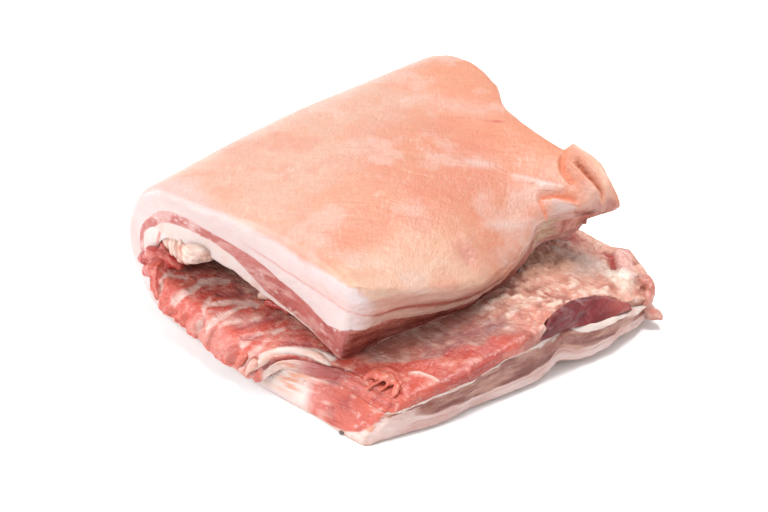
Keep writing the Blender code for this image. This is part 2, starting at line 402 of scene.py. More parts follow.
def strand(path, radii, seed=0, rough=0.12, around=18, between=6):
    """A closed tapering strand along 3-D points in mm, radii (across, up) in mm a point."""
    n = len(path)
    s = np.linspace(0, 1, (n - 1) * between + 1)
    middle = np.stack([rail([p[k] for p in path], s) for k in range(3)], -1) / 1000
    across, tall = (rail([r[k] for r in radii], s) / 1000 for k in range(2))
    cap = np.sqrt(np.clip(1 - (2 * s - 1) ** 10, 0, 1))
    way = np.gradient(middle, axis=0)
    way /= np.linalg.norm(way, axis=1)[:, None]
    side = np.cross(way, (0, 0, 1.0))
    side /= np.maximum(np.linalg.norm(side, axis=1), 1e-6)[:, None]
    up = np.cross(side, way)
    a = np.arange(around) / around * 2 * np.pi
    wide = (across * cap)[:, None, None] * np.cos(a)[None, :, None] * side[:, None]
    high = (tall * cap)[:, None, None] * np.sin(a)[None, :, None] * up[:, None]
    points = (middle[:, None] + wide + high)[1:-1].reshape(-1, 3)
    core = np.repeat(middle[1:-1], around, 0)
    points = core + (points - core) * (1 + rough * 2.2 * fbm(points, 0.007, 3, seed))[:, None]
    m = len(s) - 2
    i = np.arange(m - 1)[:, None] * around + np.arange(around)
    j = np.arange(m - 1)[:, None] * around + (np.arange(around) + 1) % around
    faces = stacked(i, j, j + around, i + around).reshape(-1, 4).tolist()
    points = np.concatenate([points, middle[:1], middle[-1:]])
    first, last = m * around, m * around + 1
    faces += [[first, (k + 1) % around, k, k] for k in range(around)]
    faces += [[last, (m - 1) * around + k, (m - 1) * around + (k + 1) % around, last]
        for k in range(around)]
    return points, [list(dict.fromkeys(f)) for f in faces]


def strands(shapes, seed, rough):
    """One strand for each (path, radii)."""
    return [strand(path, radii, seed + k, rough) for k, (path, radii) in enumerate(shapes)]


def melt(shapes, size=0.9, smooth=4):
    """Melts closed lumps and strands into one closed body, on voxels of size mm."""
    points, faces = [], []
    for more, polys in shapes:
        faces += [[k + len(points) for k in f] for f in polys]
        points += more.tolist()
    mesh = bpy.data.meshes.new("melt")
    mesh.from_pydata(points, [], faces)
    made = bpy.data.objects.new("melt", mesh)
    bpy.context.scene.collection.objects.link(made)
    remesh = made.modifiers.new("voxels", "REMESH")
    remesh.mode, remesh.voxel_size = "VOXEL", size / 1000
    relax = made.modifiers.new("relax", "SMOOTH")
    relax.factor, relax.iterations = 0.5, smooth
    got = made.evaluated_get(bpy.context.evaluated_depsgraph_get()).to_mesh()
    points = np.array([v.co[:] for v in got.vertices])
    faces = [list(f.vertices) for f in got.polygons]
    away = points - points.mean(0)
    swell = (0.0006 * fbm(points, 0.005, 3, 150))[:, None]
    points = points + swell * away / np.linalg.norm(away, axis=1)[:, None]
    bpy.data.objects.remove(made)
    bpy.data.meshes.remove(mesh)
    return points, faces


def lump(centre, radii, seed=0, rough=0.16, turn=0.0):
    """An uneven rounded lump, centre and radii in mm, turned about the vertical."""
    c, s = math.cos(math.radians(turn)), math.sin(math.radians(turn))
    way = np.array((c, s, 0))
    path = [np.array(centre) + k * radii[0] * way for k in np.cos(np.linspace(np.pi, 0, 7))]
    full = [max(math.sin(k), 0.02) for k in np.linspace(0, np.pi, 7)]
    size = [(k * radii[1], k * radii[2]) for k in full]
    return strand(path, size, seed, rough)


def rounded(s, d, r):
    """Moves a point s in from a wall and d deep onto a rounded edge of radius r."""
    a, b = np.clip(1 - s / r, 0, 1), np.clip(1 - d / r, 0, 1)
    n = np.maximum(np.hypot(a, b), 1)
    near = (a > 0) & (b > 0)
    return np.where(near, r * (1 - a / n), s), np.where(near, r * (1 - b / n), d)


def joined(*parts):
    """Rising values end to end, each part starting where the one before it ends."""
    return np.concatenate([parts[0], *(part[1:] for part in parts[1:])])


# ---------------------------------------------------------------- finishes
def finish(name, rough, coat, spread, pattern):
    """A moist meat shader: the vertex tint under fine procedural patterns."""
    m = bpy.data.materials.new(name)
    m.use_nodes = True
    nodes, links = m.node_tree.nodes, m.node_tree.links
    shader = nodes["Principled BSDF"]
    shader.inputs["Subsurface Weight"].default_value = spread[0]
    shader.inputs["Subsurface Scale"].default_value = spread[1]
    shader.inputs["Subsurface Radius"].default_value = (1.0, 0.38, 0.25)
    shader.inputs["Coat Weight"].default_value = coat
    shader.inputs["Coat Roughness"].default_value = 0.25
    shader.inputs["Specular IOR Level"].default_value = 0.4
    where = nodes.new("ShaderNodeTexCoord").outputs["Object"]

    def feed(slot, value):
        if hasattr(value, "links"):
            links.new(value, slot)
        else:
            slot.default_value = value

    def spot(long, turn):
        """Positions whose patterns are drawn out along an axis turned about the vertical."""
        if long == (1, 1, 1):
            return where
        made = nodes.new("ShaderNodeMapping")
        made.vector_type = "TEXTURE"
        made.inputs["Rotation"].default_value = (0, 0, math.radians(turn))
        made.inputs["Scale"].default_value = long
        links.new(where, made.inputs["Vector"])
        return made.outputs[0]

    def over(value, low, high, to_low=0.0, to_high=1.0):
        made = nodes.new("ShaderNodeMapRange")
        for slot, v in zip(made.inputs, (value, low, high, to_low, to_high)):
            feed(slot, v)
        return made.outputs[0]

    def grain(size, low, high, detail=4.0, long=(1, 1, 1), turn=0, distort=0.0):
        """Noise whose lumps are size mm across, stretched from low..high to 0..1."""
        made = nodes.new("ShaderNodeTexNoise")
        for key, v in (("Vector", spot(long, turn)), ("Scale", 1000 / size), ("Detail", detail),
                ("Distortion", distort)):
            feed(made.inputs[key], v)
        return over(made.outputs["Fac"], low, high)

    def dots(size, fill, long=(1, 1, 1), turn=0):
        """Scattered spots size mm apart that fill a share of their cells."""
        made = nodes.new("ShaderNodeTexVoronoi")
        for key, v in (("Vector", spot(long, turn)), ("Scale", 1000 / size)):
            feed(made.inputs[key], v)
        return over(made.outputs["Distance"], fill, 0.0)

    def maths(kind, a, b):
        made = nodes.new("ShaderNodeMath")
        made.operation = kind
        feed(made.inputs[0], a)
        feed(made.inputs[1], b)
        return made.outputs[0]

    def blend(kind, factor, a, b):
        made = nodes.new("ShaderNodeMix")
        made.data_type, made.blend_type = "RGBA", kind
        for slot, v in ((made.inputs[0], factor), (made.inputs[6], a), (made.inputs[7], b)):
            feed(slot, v)
        return made.outputs[2]

    def shade(factor, share, colour, by):
        """Colour multiplied by a constant tint where factor is 1, weakened to share."""
        return blend("MULTIPLY", maths("MULTIPLY", factor, share), colour, (*by, 1))

    tint = nodes.new("ShaderNodeAttribute")
    tint.attribute_name = "tint"
    dull = nodes.new("ShaderNodeAttribute")
    dull.attribute_name = "dull"
    colour, height, strength, rough_extra = pattern(tint.outputs["Color"], grain, dots, maths, blend, shade)
    links.new(colour, shader.inputs["Base Color"])
    bump = nodes.new("ShaderNodeBump")
    bump.inputs["Strength"].default_value = strength
    bump.inputs["Distance"].default_value = 0.001
    links.new(height, bump.inputs["Height"])
    links.new(bump.outputs[0], shader.inputs["Normal"])
    roughness = maths("ADD", maths("MULTIPLY", dull.outputs["Fac"], 0.3), maths("ADD", rough_extra, rough))
    links.new(roughness, shader.inputs["Roughness"])
    return m


def total(maths, *parts):
    """Sum of (value, weight) pairs as a node output."""
    made = maths("MULTIPLY", *parts[0])
    for value, weight in parts[1:]:
        made = maths("ADD", made, maths("MULTIPLY", value, weight))
    return made


def rind_pattern(tint, grain, dots, maths, blend, shade):
    """Mottled skin with fine hairs and pores."""
    mottle = grain(17, 0.36, 0.64, 5.0)
    colour = shade(mottle, 0.5, tint, (1.0, 0.86, 0.80))
    hairs = grain(2.2, 0.42, 0.66, 3.0, (3.2, 1, 1), 132, 0.4)
    colour = shade(hairs, 0.42, colour, (0.95, 0.82, 0.76))
    fine = grain(1.6, 0.35, 0.65, 2.0, (1.5, 1, 1), 132)
    colour = shade(fine, 0.25, colour, (0.97, 0.86, 0.80))
    pale = maths("MULTIPLY", grain(2.6, 0.52, 0.70, 3.0, (2.6, 1, 1), 138, 0.5), grain(30, 0.42, 0.62, 2.0))
    colour = blend("MIX", maths("MULTIPLY", pale, 0.30), colour, (*rgb(250, 218, 200), 1))
    spots = maths("MULTIPLY", dots(11, 0.14), grain(42, 0.54, 0.66, 2.0))
    colour = blend("MIX", maths("MULTIPLY", spots, 0.4), colour, (0.62, 0.16, 0.10, 1))
    ripple = grain(7.0, 0.3, 0.7, 3.0, (2.6, 1, 1), 45, 0.8)
    height = total(maths, (hairs, -0.32), (fine, -0.20), (ripple, 0.9), (grain(11, 0.2, 0.8, 3.0), 0.9),
        (dots(1.5, 0.42), -0.20))
    return colour, height, 0.50, maths("MULTIPLY", mottle, 0.10)


def fat_pattern(tint, grain, dots, maths, blend, shade):
    """Cloudy fat with faint veins."""
    cloudy = grain(9, 0.36, 0.68, 5.0, (1.8, 1.8, 1))
    colour = shade(cloudy, 0.45, tint, (1.0, 0.90, 0.88))
    veins = grain(5, 0.60, 0.69, 2.0, (3, 3, 1), 0, 1.2)
    colour = blend("MIX", maths("MULTIPLY", veins, 0.13), colour, (0.55, 0.24, 0.21, 1))
    height = total(maths, (grain(3.8, 0.2, 0.8, 4.0, (1.6, 1.6, 1)), 0.7), (grain(13, 0.2, 0.8, 3.0), 1.5))
    return colour, height, 0.40, maths("MULTIPLY", cloudy, 0.08)


def lean_pattern(tint, grain, dots, maths, blend, shade):
    """Fibrous lean with pale flecks."""
    fibre = grain(2.6, 0.34, 0.66, 4.0, (2.6, 1.0, 0.8), 20, 0.8)
    colour = shade(fibre, 0.45, tint, (0.86, 0.62, 0.58))
    blotch = grain(9, 0.40, 0.62, 4.0)
    colour = shade(blotch, 0.35, colour, (0.90, 0.74, 0.72))
    flecks = maths("MULTIPLY", dots(2.6, 0.34, (1.8, 1, 0.8), 20), grain(10, 0.48, 0.62, 3.0))
    colour = blend("MIX", maths("MULTIPLY", flecks, 0.55), colour, (*rgb(246, 206, 198), 1))
    height = total(maths, (fibre, 0.40), (grain(8, 0.2, 0.8, 4.0), 1.5), (grain(1.6, 0.3, 0.7, 2.0), 0.22))
    return colour, height, 0.65, maths("MULTIPLY", fibre, 0.10)


def membrane_pattern(tint, grain, dots, maths, blend, shade):
    """Blotchy fat under torn membrane."""
    patch = grain(6.0, 0.42, 0.60, 6.0, (1.5, 1, 1), 10, 0.8)
    colour = shade(patch, 0.7, tint, (0.82, 0.64, 0.58))
    bright = maths("MULTIPLY", dots(3.2, 0.40, (1.6, 1, 1), 30), grain(8, 0.50, 0.62, 3.0))
    colour = blend("MIX", maths("MULTIPLY", bright, 0.50), colour, (*rgb(248, 226, 212), 1))
    height = total(maths, (grain(3.8, 0.2, 0.8, 5.0), 1.6), (grain(13, 0.2, 0.8, 4.0), 2.0), (bright, 0.5))
    return colour, height, 0.85, maths("MULTIPLY", patch, 0.14)


def muscle_pattern(tint, grain, dots, maths, blend, shade):
    """Smooth dark muscle, drawn out along its grain."""
    strand_like = grain(3.0, 0.36, 0.64, 4.0, (1, 4.5, 1), 12, 0.5)
    colour = shade(strand_like, 0.6, tint, (0.68, 0.52, 0.56))
    height = total(maths, (strand_like, 0.8), (grain(11, 0.2, 0.8, 3.0), 1.4))
    return colour, height, 0.45, maths("MULTIPLY", strand_like, 0.08)


RIND = finish("rind", 0.42, 0.10, (0.10, 0.004), rind_pattern)
FAT = finish("cut_fat", 0.36, 0.20, (0.14, 0.004), fat_pattern)
LEANS = finish("lean", 0.34, 0.20, (0.07, 0.002), lean_pattern)
MEMBRANE = finish("membrane", 0.36, 0.22, (0.08, 0.002), membrane_pattern)
MUSCLE = finish("muscle", 0.32, 0.15, (0.10, 0.003), muscle_pattern)

WHITE_FAT, PINK_FAT = rgb(243, 224, 222), rgb(238, 206, 202)
SALMON, PALE_RIND, CREASE_GLOW = rgb(240, 152, 120), rgb(239, 186, 166), rgb(250, 138, 94)
DUSKY, DARK_LEAN, RED, DEEP_RED = rgb(214, 122, 114), rgb(140, 48, 36), rgb(224, 98, 80), rgb(180, 56, 46)
SILVER, PURPLE = rgb(255, 226, 214), rgb(112, 16, 24)
SIDE_FAT, TAN = rgb(240, 194, 176), rgb(226, 184, 154)


# ---------------------------------------------------------------- shared cuts
# The near cut of the upper half wanders from the plain layer depths: mm at places across.
CUT_U = (0, 0.06, 0.15, 0.24, 0.36, 0.48, 0.56, 0.63, 0.71, 0.81, 0.92, 1.0, 1.25, 1.42, 1.7, 2.0)
CUT_OUTER = (35, 39, 43.5, 43, 40, 37, 32, 28, 24.5, 20, 16, 15, 18, 15, 15, 17)
CUT_LEAN = (57.4, 57.4, 57.4, 57.2, 57, 55, 51.5, 44, 34, 27, 24, 24.5, 25.5, 19, 20, 23)
CUT_SEAM = (58, 58, 58, 57.9, 57.8, 57, 55.5, 51, 44.5, 40.5, 38, 37, 35, 33, 34, 38)


def layer(table, cut=None):
    """Depth function of (u, t) for a layer face, wandering at the upper near cut."""
    def at(u, t):
        plain = depth(table, u, t)
        if cut is None:
            return plain
        where = stacked(u * SHEET_SIZE[0], t * SHEET_SIZE[1], 0 * u) + cut[0] * 1e-3
        edge = ramp(3 - u, 0.12, 0.0)
        plain = (plain + 0.0008 * fbm(where, 0.010, 4, 27)
            + 0.0016 * edge * fbm(where * (0, 1, 1), 0.016, 4, 28))
        share = bell(np.maximum(t, 0), 0.10) * ramp(2.0 - u, 0, 0.35)
        return plain + share * (from_mm(u, CUT_U, cut) - plain)
    return at


OUTER_AT, LEAN_AT, SEAM_AT = layer(OUTER, CUT_OUTER), layer(LEAN, CUT_LEAN), layer(SEAM, CUT_SEAM)
LOWER_SEAM_AT, INNER_AT = layer(SEAM), layer(INNER)


# How far a hidden sheet lies inside the layer beside it, so that no gap shows at a joint.
TUCK, DEEP_TUCK = 0.00004, 0.00006


def moved(face, by):
    """A layer face a little deeper, or less deep where by is negative."""
    return lambda u, t: face(u, t) + by


# How far the upper half's far end bulges past its plain line: metres across, mm out.
FAR_BULGE = (
    (-0.112, -0.104, -0.096, -0.087, -0.048, -0.038, -0.028, -0.019, 0, 0.04, 0.05, 0.069, 0.079, 0.098),
    (0, 3, 4.6, 7.0, 8.6, 5, 0.6, -1.4, -2, -2, 0, 1.5, 0, -7),
)


def near_shift(x, d):
    """How far in the near cut of the lower half is slanted, x and d in metres."""
    reach = from_mm(x, (-0.004, 0.009, 0.021, 0.032, 0.047, 0.055, 0.075, 0.100),
        (0, 3, 6, 10, 15, 19, 21, 21))
    profile = np.interp(d, (0, 0.004, 0.010, 0.016, 0.021, 0.024, 0.030),
        (0.0, 0.08, 0.36, 0.66, 0.93, 1.0, 1.04))
    return reach * profile


def cut_relief(p, seed, coarse=0.0009, fine=0.00035):
    """Uneven height of a knife cut, in metres."""
    return coarse * fbm(p, 0.030, 2, seed) + fine * fbm(p, 0.007, 3, seed + 5)


def shape_cuts(p, u, t, d, low_t):
    """Moves the four cut edges of any layer by the same small, uneven amounts."""
    q = p.copy()
    base = place(u, np.full_like(u, low_t), d)
    s_near = np.abs(p[:, 1] - base[:, 1])
    end = place(u, np.ones_like(u), d)
    s_far = np.abs(end[:, 1] - p[:, 1])
    lower = ramp(u, 1.9, 2.2)
    inward = near_shift(p[:, 0], np.where(u > 2, d, 0)) * lower
    q[:, 1] += inward * fade(np.maximum(s_near - 0.002, 0), 0.016)
    q[:, 1] -= (0.004 * ramp(p[:, 0], 0.05, 0.09) * ramp(0.02 - d, -0.01, 0.01) * fade(s_near, 0.02)
        * (u > 2))
    flat = stacked(p[:, 0], np.zeros(len(p)), p[:, 2])
    q[:, 1] -= cut_relief(flat, 3) * fade(s_near, 0.004)
    far_x = from_mm(p[:, 0], *FAR_BULGE)
    q[:, 1] += far_x * fade(s_far, 0.02) * (u < 1.5)
    q[:, 1] += 0.0014 * fbm(flat, 0.022, 3, 9) * fade(s_far, 0.006)
    flat = stacked(np.zeros(len(p)), p[:, 1], p[:, 2])
    out = place(np.where(u < 1.5, 0.0, 3.0), np.clip(t, 0, 1), d)
    s_side = np.abs(out[:, 0] - p[:, 0])
    rough = cut_relief(flat, 21, 0.0013, 0.0009) + 0.0012 * fbm(flat * (1, 0.6, 3), 0.012, 4, 25)
    rough = rough + 0.0005 * fbm(flat * (1, 0.7, 1.6), 0.0042, 3, 26)
    q[:, 0] += rough * fade(s_side, 0.005)
    # The upright corners are round.
    radius = np.where(u < 1.5, 0.0125 - 0.0075 * ramp(d, 0.025, 0.045), 0.006)
    a, b = np.clip(1 - s_side / radius, 0, 1), np.clip(1 - s_near / radius, 0, 1)
    n = np.maximum(np.hypot(a, b), 1)
    q[:, 0] -= np.where(b > 0, radius * a * (1 - 1 / n), 0)
    q[:, 1] += np.where(a > 0, radius * b * (1 - 1 / n), 0)
    # The near corner's meat is drawn in and hangs.
    tip = ramp(d, 0.026, 0.058) * fade(s_near, 0.035) * fade(s_side, 0.035) * (u < 1)
    q[:, 0] -= 0.0065 * tip
    q[:, 2] -= 0.0045 * tip
    # The far corner of the upper half crumples outwards.
    corner = ramp(flat[:, 1] * 1000, 52, 96) * (u < 1)
    q[:, 0] += 0.005 * corner * fade(s_side, 0.012) * (1 - 0.5 * np.clip(d / 0.02, 0, 1))
    under = from_mm(t, (0, 0.06, 0.14, 0.3, 0.42, 0.5, 0.6, 0.7), (0, 3, 8, 11, 8, 9, 7, 0)) * (u < 1)
    q[:, 0] -= under * np.clip(d / 0.034, 0, 1.2) * fade(s_side, 0.03)
    q[:, 2] -= (from_mm(t, (0, 0.15, 0.27, 0.4, 0.5, 0.6, 0.7), (0, 0, 3, 5, 5, 4, 0)) * fade(s_side, 0.022)
        * (u < 1))
    drawn_in = (0.016 * ramp(d, 0.009, 0.022) * ramp(p[:, 0], 0.045, 0.08) * ramp(p[:, 1], 0.06, 0.10)
        * (u < 1))
    q[:, 0] -= (0.35 + 0.4 * ramp(p[:, 1], 0.088, 0.114)) * drawn_in * fade(s_side, 0.02)
    q[:, 2] -= ((0.004 * ramp(p[:, 1], 0.055, 0.080) - 0.006 * ramp(p[:, 1], 0.088, 0.114))
        * ramp(d, 0.012, 0.024) * fade(s_side, 0.02) * (u < 1))
    q[:, 1] -= drawn_in * fade(s_far, 0.02)
    # The lower half's free edge waves along its length, and ruffles where it lifts.
    y = p[:, 1] * 1000
    spread = from_mm(y, (-135, -116, -98, -66, -34, -2, 33, 54, 73, 93, 104),
        (1, 4, 5, 8, 7, 5, 8, 9, 8, 6, 3))
    spread = spread * (1 - ramp(t, 0.45, 0.6) * ramp(d, 0.020, 0.030))
    q[:, 0] += spread * fade(s_side, 0.02) * (u > 2)
    wave = from_mm(y, (-135, -113, -89, -62, -44, -28, -6, 10, 22, 36, 51, 66, 82, 95, 104),
        (-1, -1, 1, -1, 1.5, 2.5, 0, -4.5, -1.5, 1.5, 1.5, 0, -1, 0, 1))
    thick = ramp(0.020 - d, -0.004, 0.012)
    q[:, 0] += wave * fade(s_side, 0.012) * thick * (u > 2)
    q[:, 0] -= from_mm(y, (55, 68, 82, 92, 104), (0, 3, 8, 14, 20)) * fade(s_side, 0.018) * (u > 2)
    lift = (5.5 * bell(y - 12, 10) + 1.2 * bell(y + 40, 14) + 2.0 * bell(y - 62, 10)) / 1000
    q[:, 2] += lift * fade(s_side, 0.010) * (u > 2)
    return q, s_near, s_far, s_side


def round_edges(u, t, d, low_t, r_near, r_far, r_side):
    """Sheet coordinates with the three free edges of the face at depth 0 rounded."""
    length_y = rail(FAR_END_Y, u / 3) - rail(NEAR_CUT_Y, u / 3)
    s, moved_d = rounded((t - low_t) * length_y, d, r_near)
    t2 = low_t + s / length_y
    s, moved_d = rounded((1 - t2) * length_y, moved_d, r_far)
    t2 = 1 - s / length_y
    wide = rail(UPPER_EDGE_X, np.clip(t, 0, 1)) - rail(FOLD_START_X, np.clip(t, 0, 1))
    s, moved_d = rounded(np.where(u < 1.5, u, 3 - u) * wide, moved_d, r_side)
    u2 = np.where(u < 1.5, s / wide, 3 - s / wide)
    u2 = np.where(np.abs(u - 1.5) < 0.6, u, u2)
    return u2, t2, moved_d


def on_slope(u, s_near, s_side):
    """Whether a point lies on the lower half's slanted near cut."""
    return (u > 2) & (s_near < 0.004) & (s_side > s_near)


def slope_paint(p, d):
    """The lower half's slanted near cut: cream and peach fat, then red lean."""
    x, up = p[:, 0] * 1000, d * 1000
    streaky = fbm(p * (0.22, 1, 1.2), 0.0042, 3, 161)
    c = mix(rgb(252, 234, 226), rgb(247, 212, 198), 0.35 + 0.9 * fbm(p * (0.3, 1, 1), 0.006, 3, 160))
    c = mix(c, rgb(244, 168, 136), 0.9 * ramp(streaky, 0.0, 0.3) * ramp(x, 10, 26) * ramp(up, 4, 9))
    lean = mix(RED, rgb(232, 116, 94), 0.45 + 0.9 * fbm(p, 0.008, 3, 162))
    lean = mix(lean, rgb(252, 206, 192), 0.6 * ramp(fbm(p, 0.0026, 3, 163), 0.20, 0.42))
    lean = mix(lean, rgb(252, 214, 202), 0.7 * bell(up - 20.0 + 1.6 * streaky, 0.8) * ramp(62 - x, 0, 12))
    lean = mix(lean, rgb(186, 92, 92), 0.8 * ramp(up + 1.6 * streaky, 20.8, 22.6)
        * ramp(66 - x + 8 * streaky, 0, 16))
    lean = mix(lean, rgb(184, 58, 48), 0.65 * ramp(fbm(p * (0.7, 1, 1.3), 0.0055, 4, 165), 0.05, 0.4))
    c = mix(c, rgb(206, 120, 114), 0.9 * ramp(up + 2 * streaky, 20.5, 22.5) * ramp(x, 24, 36))
    low = np.interp(x, (40, 78, 90, 99), (0.5, 1.5, 6, 13))
    c = mix(c, lean, ramp(x + 5 * fbm(p, 0.012, 3, 66) + (up - 14) * 0.35, 38, 47)
        * ramp(up + 1.5 * fbm(p, 0.006, 2, 164), low, low + 1.5))
    return mix(c, rgb(238, 222, 240), 0.7 * ramp(5 - up, 0, 4) * ramp(46 - x, 0, 30))


# ---------------------------------------------------------------- outer fat and rind
def rind_relief(p):
    """Height of the upper rind over the plain sheet, in millimetres, and its creases."""
    xy = p[:, :2]
    h = 1.2 * fbm(p, 0.075, 2, 40) + 0.30 * fbm(p, 0.018, 3, 41)
    h += -2.6 * blob(xy, 72, -18, 5.5, 4.5) + 0.9 * blob(xy, 64, -8, 6) + 0.6 * blob(xy, 66, -28, 7)
    roll = ridge(xy, [(44, 113), (58, 114), (70, 112), (82, 107), (92, 102), (97, 96)], 7.5, 0.12)
    h += 2.6 * blob(xy, -72, 152, 32, 40)
    deep = ridge(xy, [(58, 107), (69, 102.5), (79, 101), (87, 100), (95, 99)], 1.5, 0.10)
    second = ridge(xy, [(56, 100), (64, 97.5), (73, 96), (82, 95), (90, 95)], 3.0, 0.10)
    first = ridge(xy, [(48, 109), (51, 101), (56, 95), (62, 92.5), (69, 91)], 1.4, 0.05)
    hook = ridge(xy, [(59, 66), (62, 72), (66, 78), (71, 83), (77, 88)], 1.5, 0.15)
    fork = ridge(xy, [(60, 67), (64, 65), (69, 64), (75, 66)], 1.3, 0.12)
    lip = ridge(xy, [(54, 68), (58, 75), (63, 81), (68, 87)], 3.0, 0.2)
    flap = ridge(xy, [(66, 70), (70, 74), (75, 79), (80, 84)], 2.6, 0.15)
    rim = ridge(xy, [(79, 84), (84, 90), (89, 96)], 3.2, 0.1)
    faint = ridge(xy, [(36, 62), (45, 70), (54, 76), (64, 82)], 3.0, 0.2)
    faint += 0.8 * ridge(xy, [(56, 6), (62, 20), (66, 34), (69, 48), (71, 60)], 4.0, 0.2)
    h += (9.5 * roll - 7.0 * deep + 5.5 * second - 3.4 * first - 3.4 * hook - 2.0 * fork + 1.6 * lip
        + 3.0 * flap + 2.4 * rim + 1.0 * faint)
    crease = np.clip(1.1 * deep + 0.9 * first + 0.9 * hook * ramp(p[:, 0] * 1000, 80, 66) + 0.8 * fork, 0,
        1)
    pale = np.clip(0.8 * flap + 0.7 * faint + 0.5 * lip + 0.4 * rim, 0, 1)
    return h, crease, pale, roll


def rind_paint(p, crease, pale):
    """Colour of the rind: salmon and peach patches, pink at the creases, whose hollows take a painted
    orange glow of light through the skin.
    """
    xy = p[:, :2]
    x, y = p[:, 0] * 1000, p[:, 1] * 1000
    c = mix(PALE_RIND, SALMON, ramp(x + 0.35 * y, -75, 25) * 0.85 + 0.25 * fbm(p, 0.06, 3, 50))
    c = mix(c, rgb(241, 156, 121), 0.7 * ramp(y, 60, 110))
    # Pale pink towards the fold's outer side: a painted highlight of the light from the left.
    c = mix(c, rgb(243, 206, 194), 0.8 * ramp(-x, 92, 118))
    c = mix(c, rgb(230, 136, 106), 0.42 * ramp(blob(xy, -15, 35, 70, 70, 0) + 0.2 * fbm(p, 0.05, 3, 49),
            0.3, 0.9))
    c = mix(c, rgb(252, 206, 182), 0.85 * ramp(x + 4 * fbm(p, 0.02, 3, 55), 26, 58) * ramp(-y, -20, 40))
    c = mix(c, rgb(236, 150, 126), 0.42 * ramp(fbm(p, 0.030, 4, 52), 0.05, 0.45))
    c = mix(c, rgb(240, 166, 134), 0.35 * ramp(fbm(p * (1, 0.5, 1), 0.018, 4, 56), 0.05, 0.45))
    c = mix(c, rgb(246, 206, 196), 0.50 * ramp(fbm(p, 0.024, 4, 53), 0.08, 0.50))
    c = mix(c, rgb(246, 210, 204), 0.75 * blob(xy, 17, 52, 12, 5, 50) + 0.55 * blob(xy, 56, 62, 14, 8, 40)
        + 0.3 * blob(xy, -40, 95, 30, 12, 30))
    c = mix(c, rgb(240, 160, 150), 0.5 * blob(xy, 72, -16, 8, 7))
    c = mix(c, rgb(214, 80, 76), 0.8 * blob(xy, -9, 100, 2.4, 1.3, 45)
        + 0.35 * ridge(xy, [(-16, 92), (-9, 100), (-4, 106)], 1.3))
    c = mix(c, rgb(246, 216, 212), 0.85 * pale)
    # The creases get a painted glow, orange for the light that shines through the skin there.
    return mix(c * (0.94, 0.99, 0.96), CREASE_GLOW * 1.2, 0.9 * crease)


def upper_side_paint(flat, t, d, w, s_near, fat):
    """The upper half's cut side: pale fat, a dark seam, pale fat, then crumpled skin."""
    yz = stacked(flat[:, 1], flat[:, 2])
    share = w + 0.05 * fbm(flat, 0.025, 3, 62)
    edge = mix(SIDE_FAT, rgb(222, 158, 138), 0.4 + 0.8 * fbm(flat * (1, 0.5, 2), 0.010, 4, 59))
    middle = np.interp(t, (0, 0.08, 0.14, 0.2, 0.3, 0.38, 0.6), (0.62, 0.68, 0.65, 0.60, 0.59, 0.68, 0.6))
    thick = np.interp(t, (0, 0.08, 0.16, 0.35, 0.6), (0.02, 0.035, 0.085, 0.12, 0.12))
    edge = mix(edge, rgb(176, 76, 58), 0.9 * bell(share - middle, thick) * ramp(0.60 - t, 0, 0.10))
    edge = mix(edge, rgb(238, 196, 176), 0.7 * bell(share - middle - 0.2, 0.09) * ramp(0.50 - t, 0, 0.10))
    edge = mix(edge, fat, ramp(17 - s_near * 1000 + 4 * fbm(flat, 0.01, 3, 57), 0, 13)
        * ramp(d, 0.002, 0.012))
    ridges = fbm(flat * (1, 1, 0.25), 0.0035, 3, 63)
    far_edge = mix(rgb(236, 180, 166), rgb(206, 136, 120), 0.5 + 1.3 * ridges)
    far_edge = mix(far_edge, TAN, ramp(blob(yz, 66, 60, 16, 13) + 0.2 * ridges, 0.35, 0.6))
    # A dark spot of painted shade, standing for a small hole under the roll.
    far_edge = mix(far_edge, rgb(120, 36, 28), 0.9 * blob(yz, 91, 70, 5, 1.8, 10))
    return mix(edge, far_edge, ramp(t, 0.64, 0.74))


def lower_side_paint(flat, t, d):
    """The lower half's side: pinkish white fat under a rough brown-pink band."""
    band = (d * 1000 + 2.6 * fbm(flat * (1, 1, 2), 0.030, 3, 67)
        + 1.6 * fbm(flat * (1, 0.6, 1), 0.009, 4, 68))
    low = mix(rgb(247, 216, 209), rgb(220, 162, 150), 0.25 + 1.0 * fbm(flat * (1, 0.6, 2), 0.012, 4, 64))
    rough = mix(rgb(140, 68, 54), rgb(216, 160, 138), 0.38 + 1.6 * fbm(flat * (1, 0.4, 1.6), 0.008, 5, 69))
    rough = mix(rough, rgb(250, 222, 214), 0.85 * ramp(0.17 - t + 0.05 * fbm(flat, 0.010, 4, 71), 0, 0.09))
    low = mix(low, rough, ramp(band, np.interp(t, (0, 0.15, 0.5, 1), (15, 11, 11, 9)),
            np.interp(t, (0, 0.15, 0.5, 1), (16, 12.5, 12.5, 10.5))))
    return mix(low, rgb(196, 126, 106), 0.5 * bell(band - 8.5, 0.6)
        * ramp(fbm(flat * (0, 1, 0), 0.03, 2, 65), -0.2, 0.2))


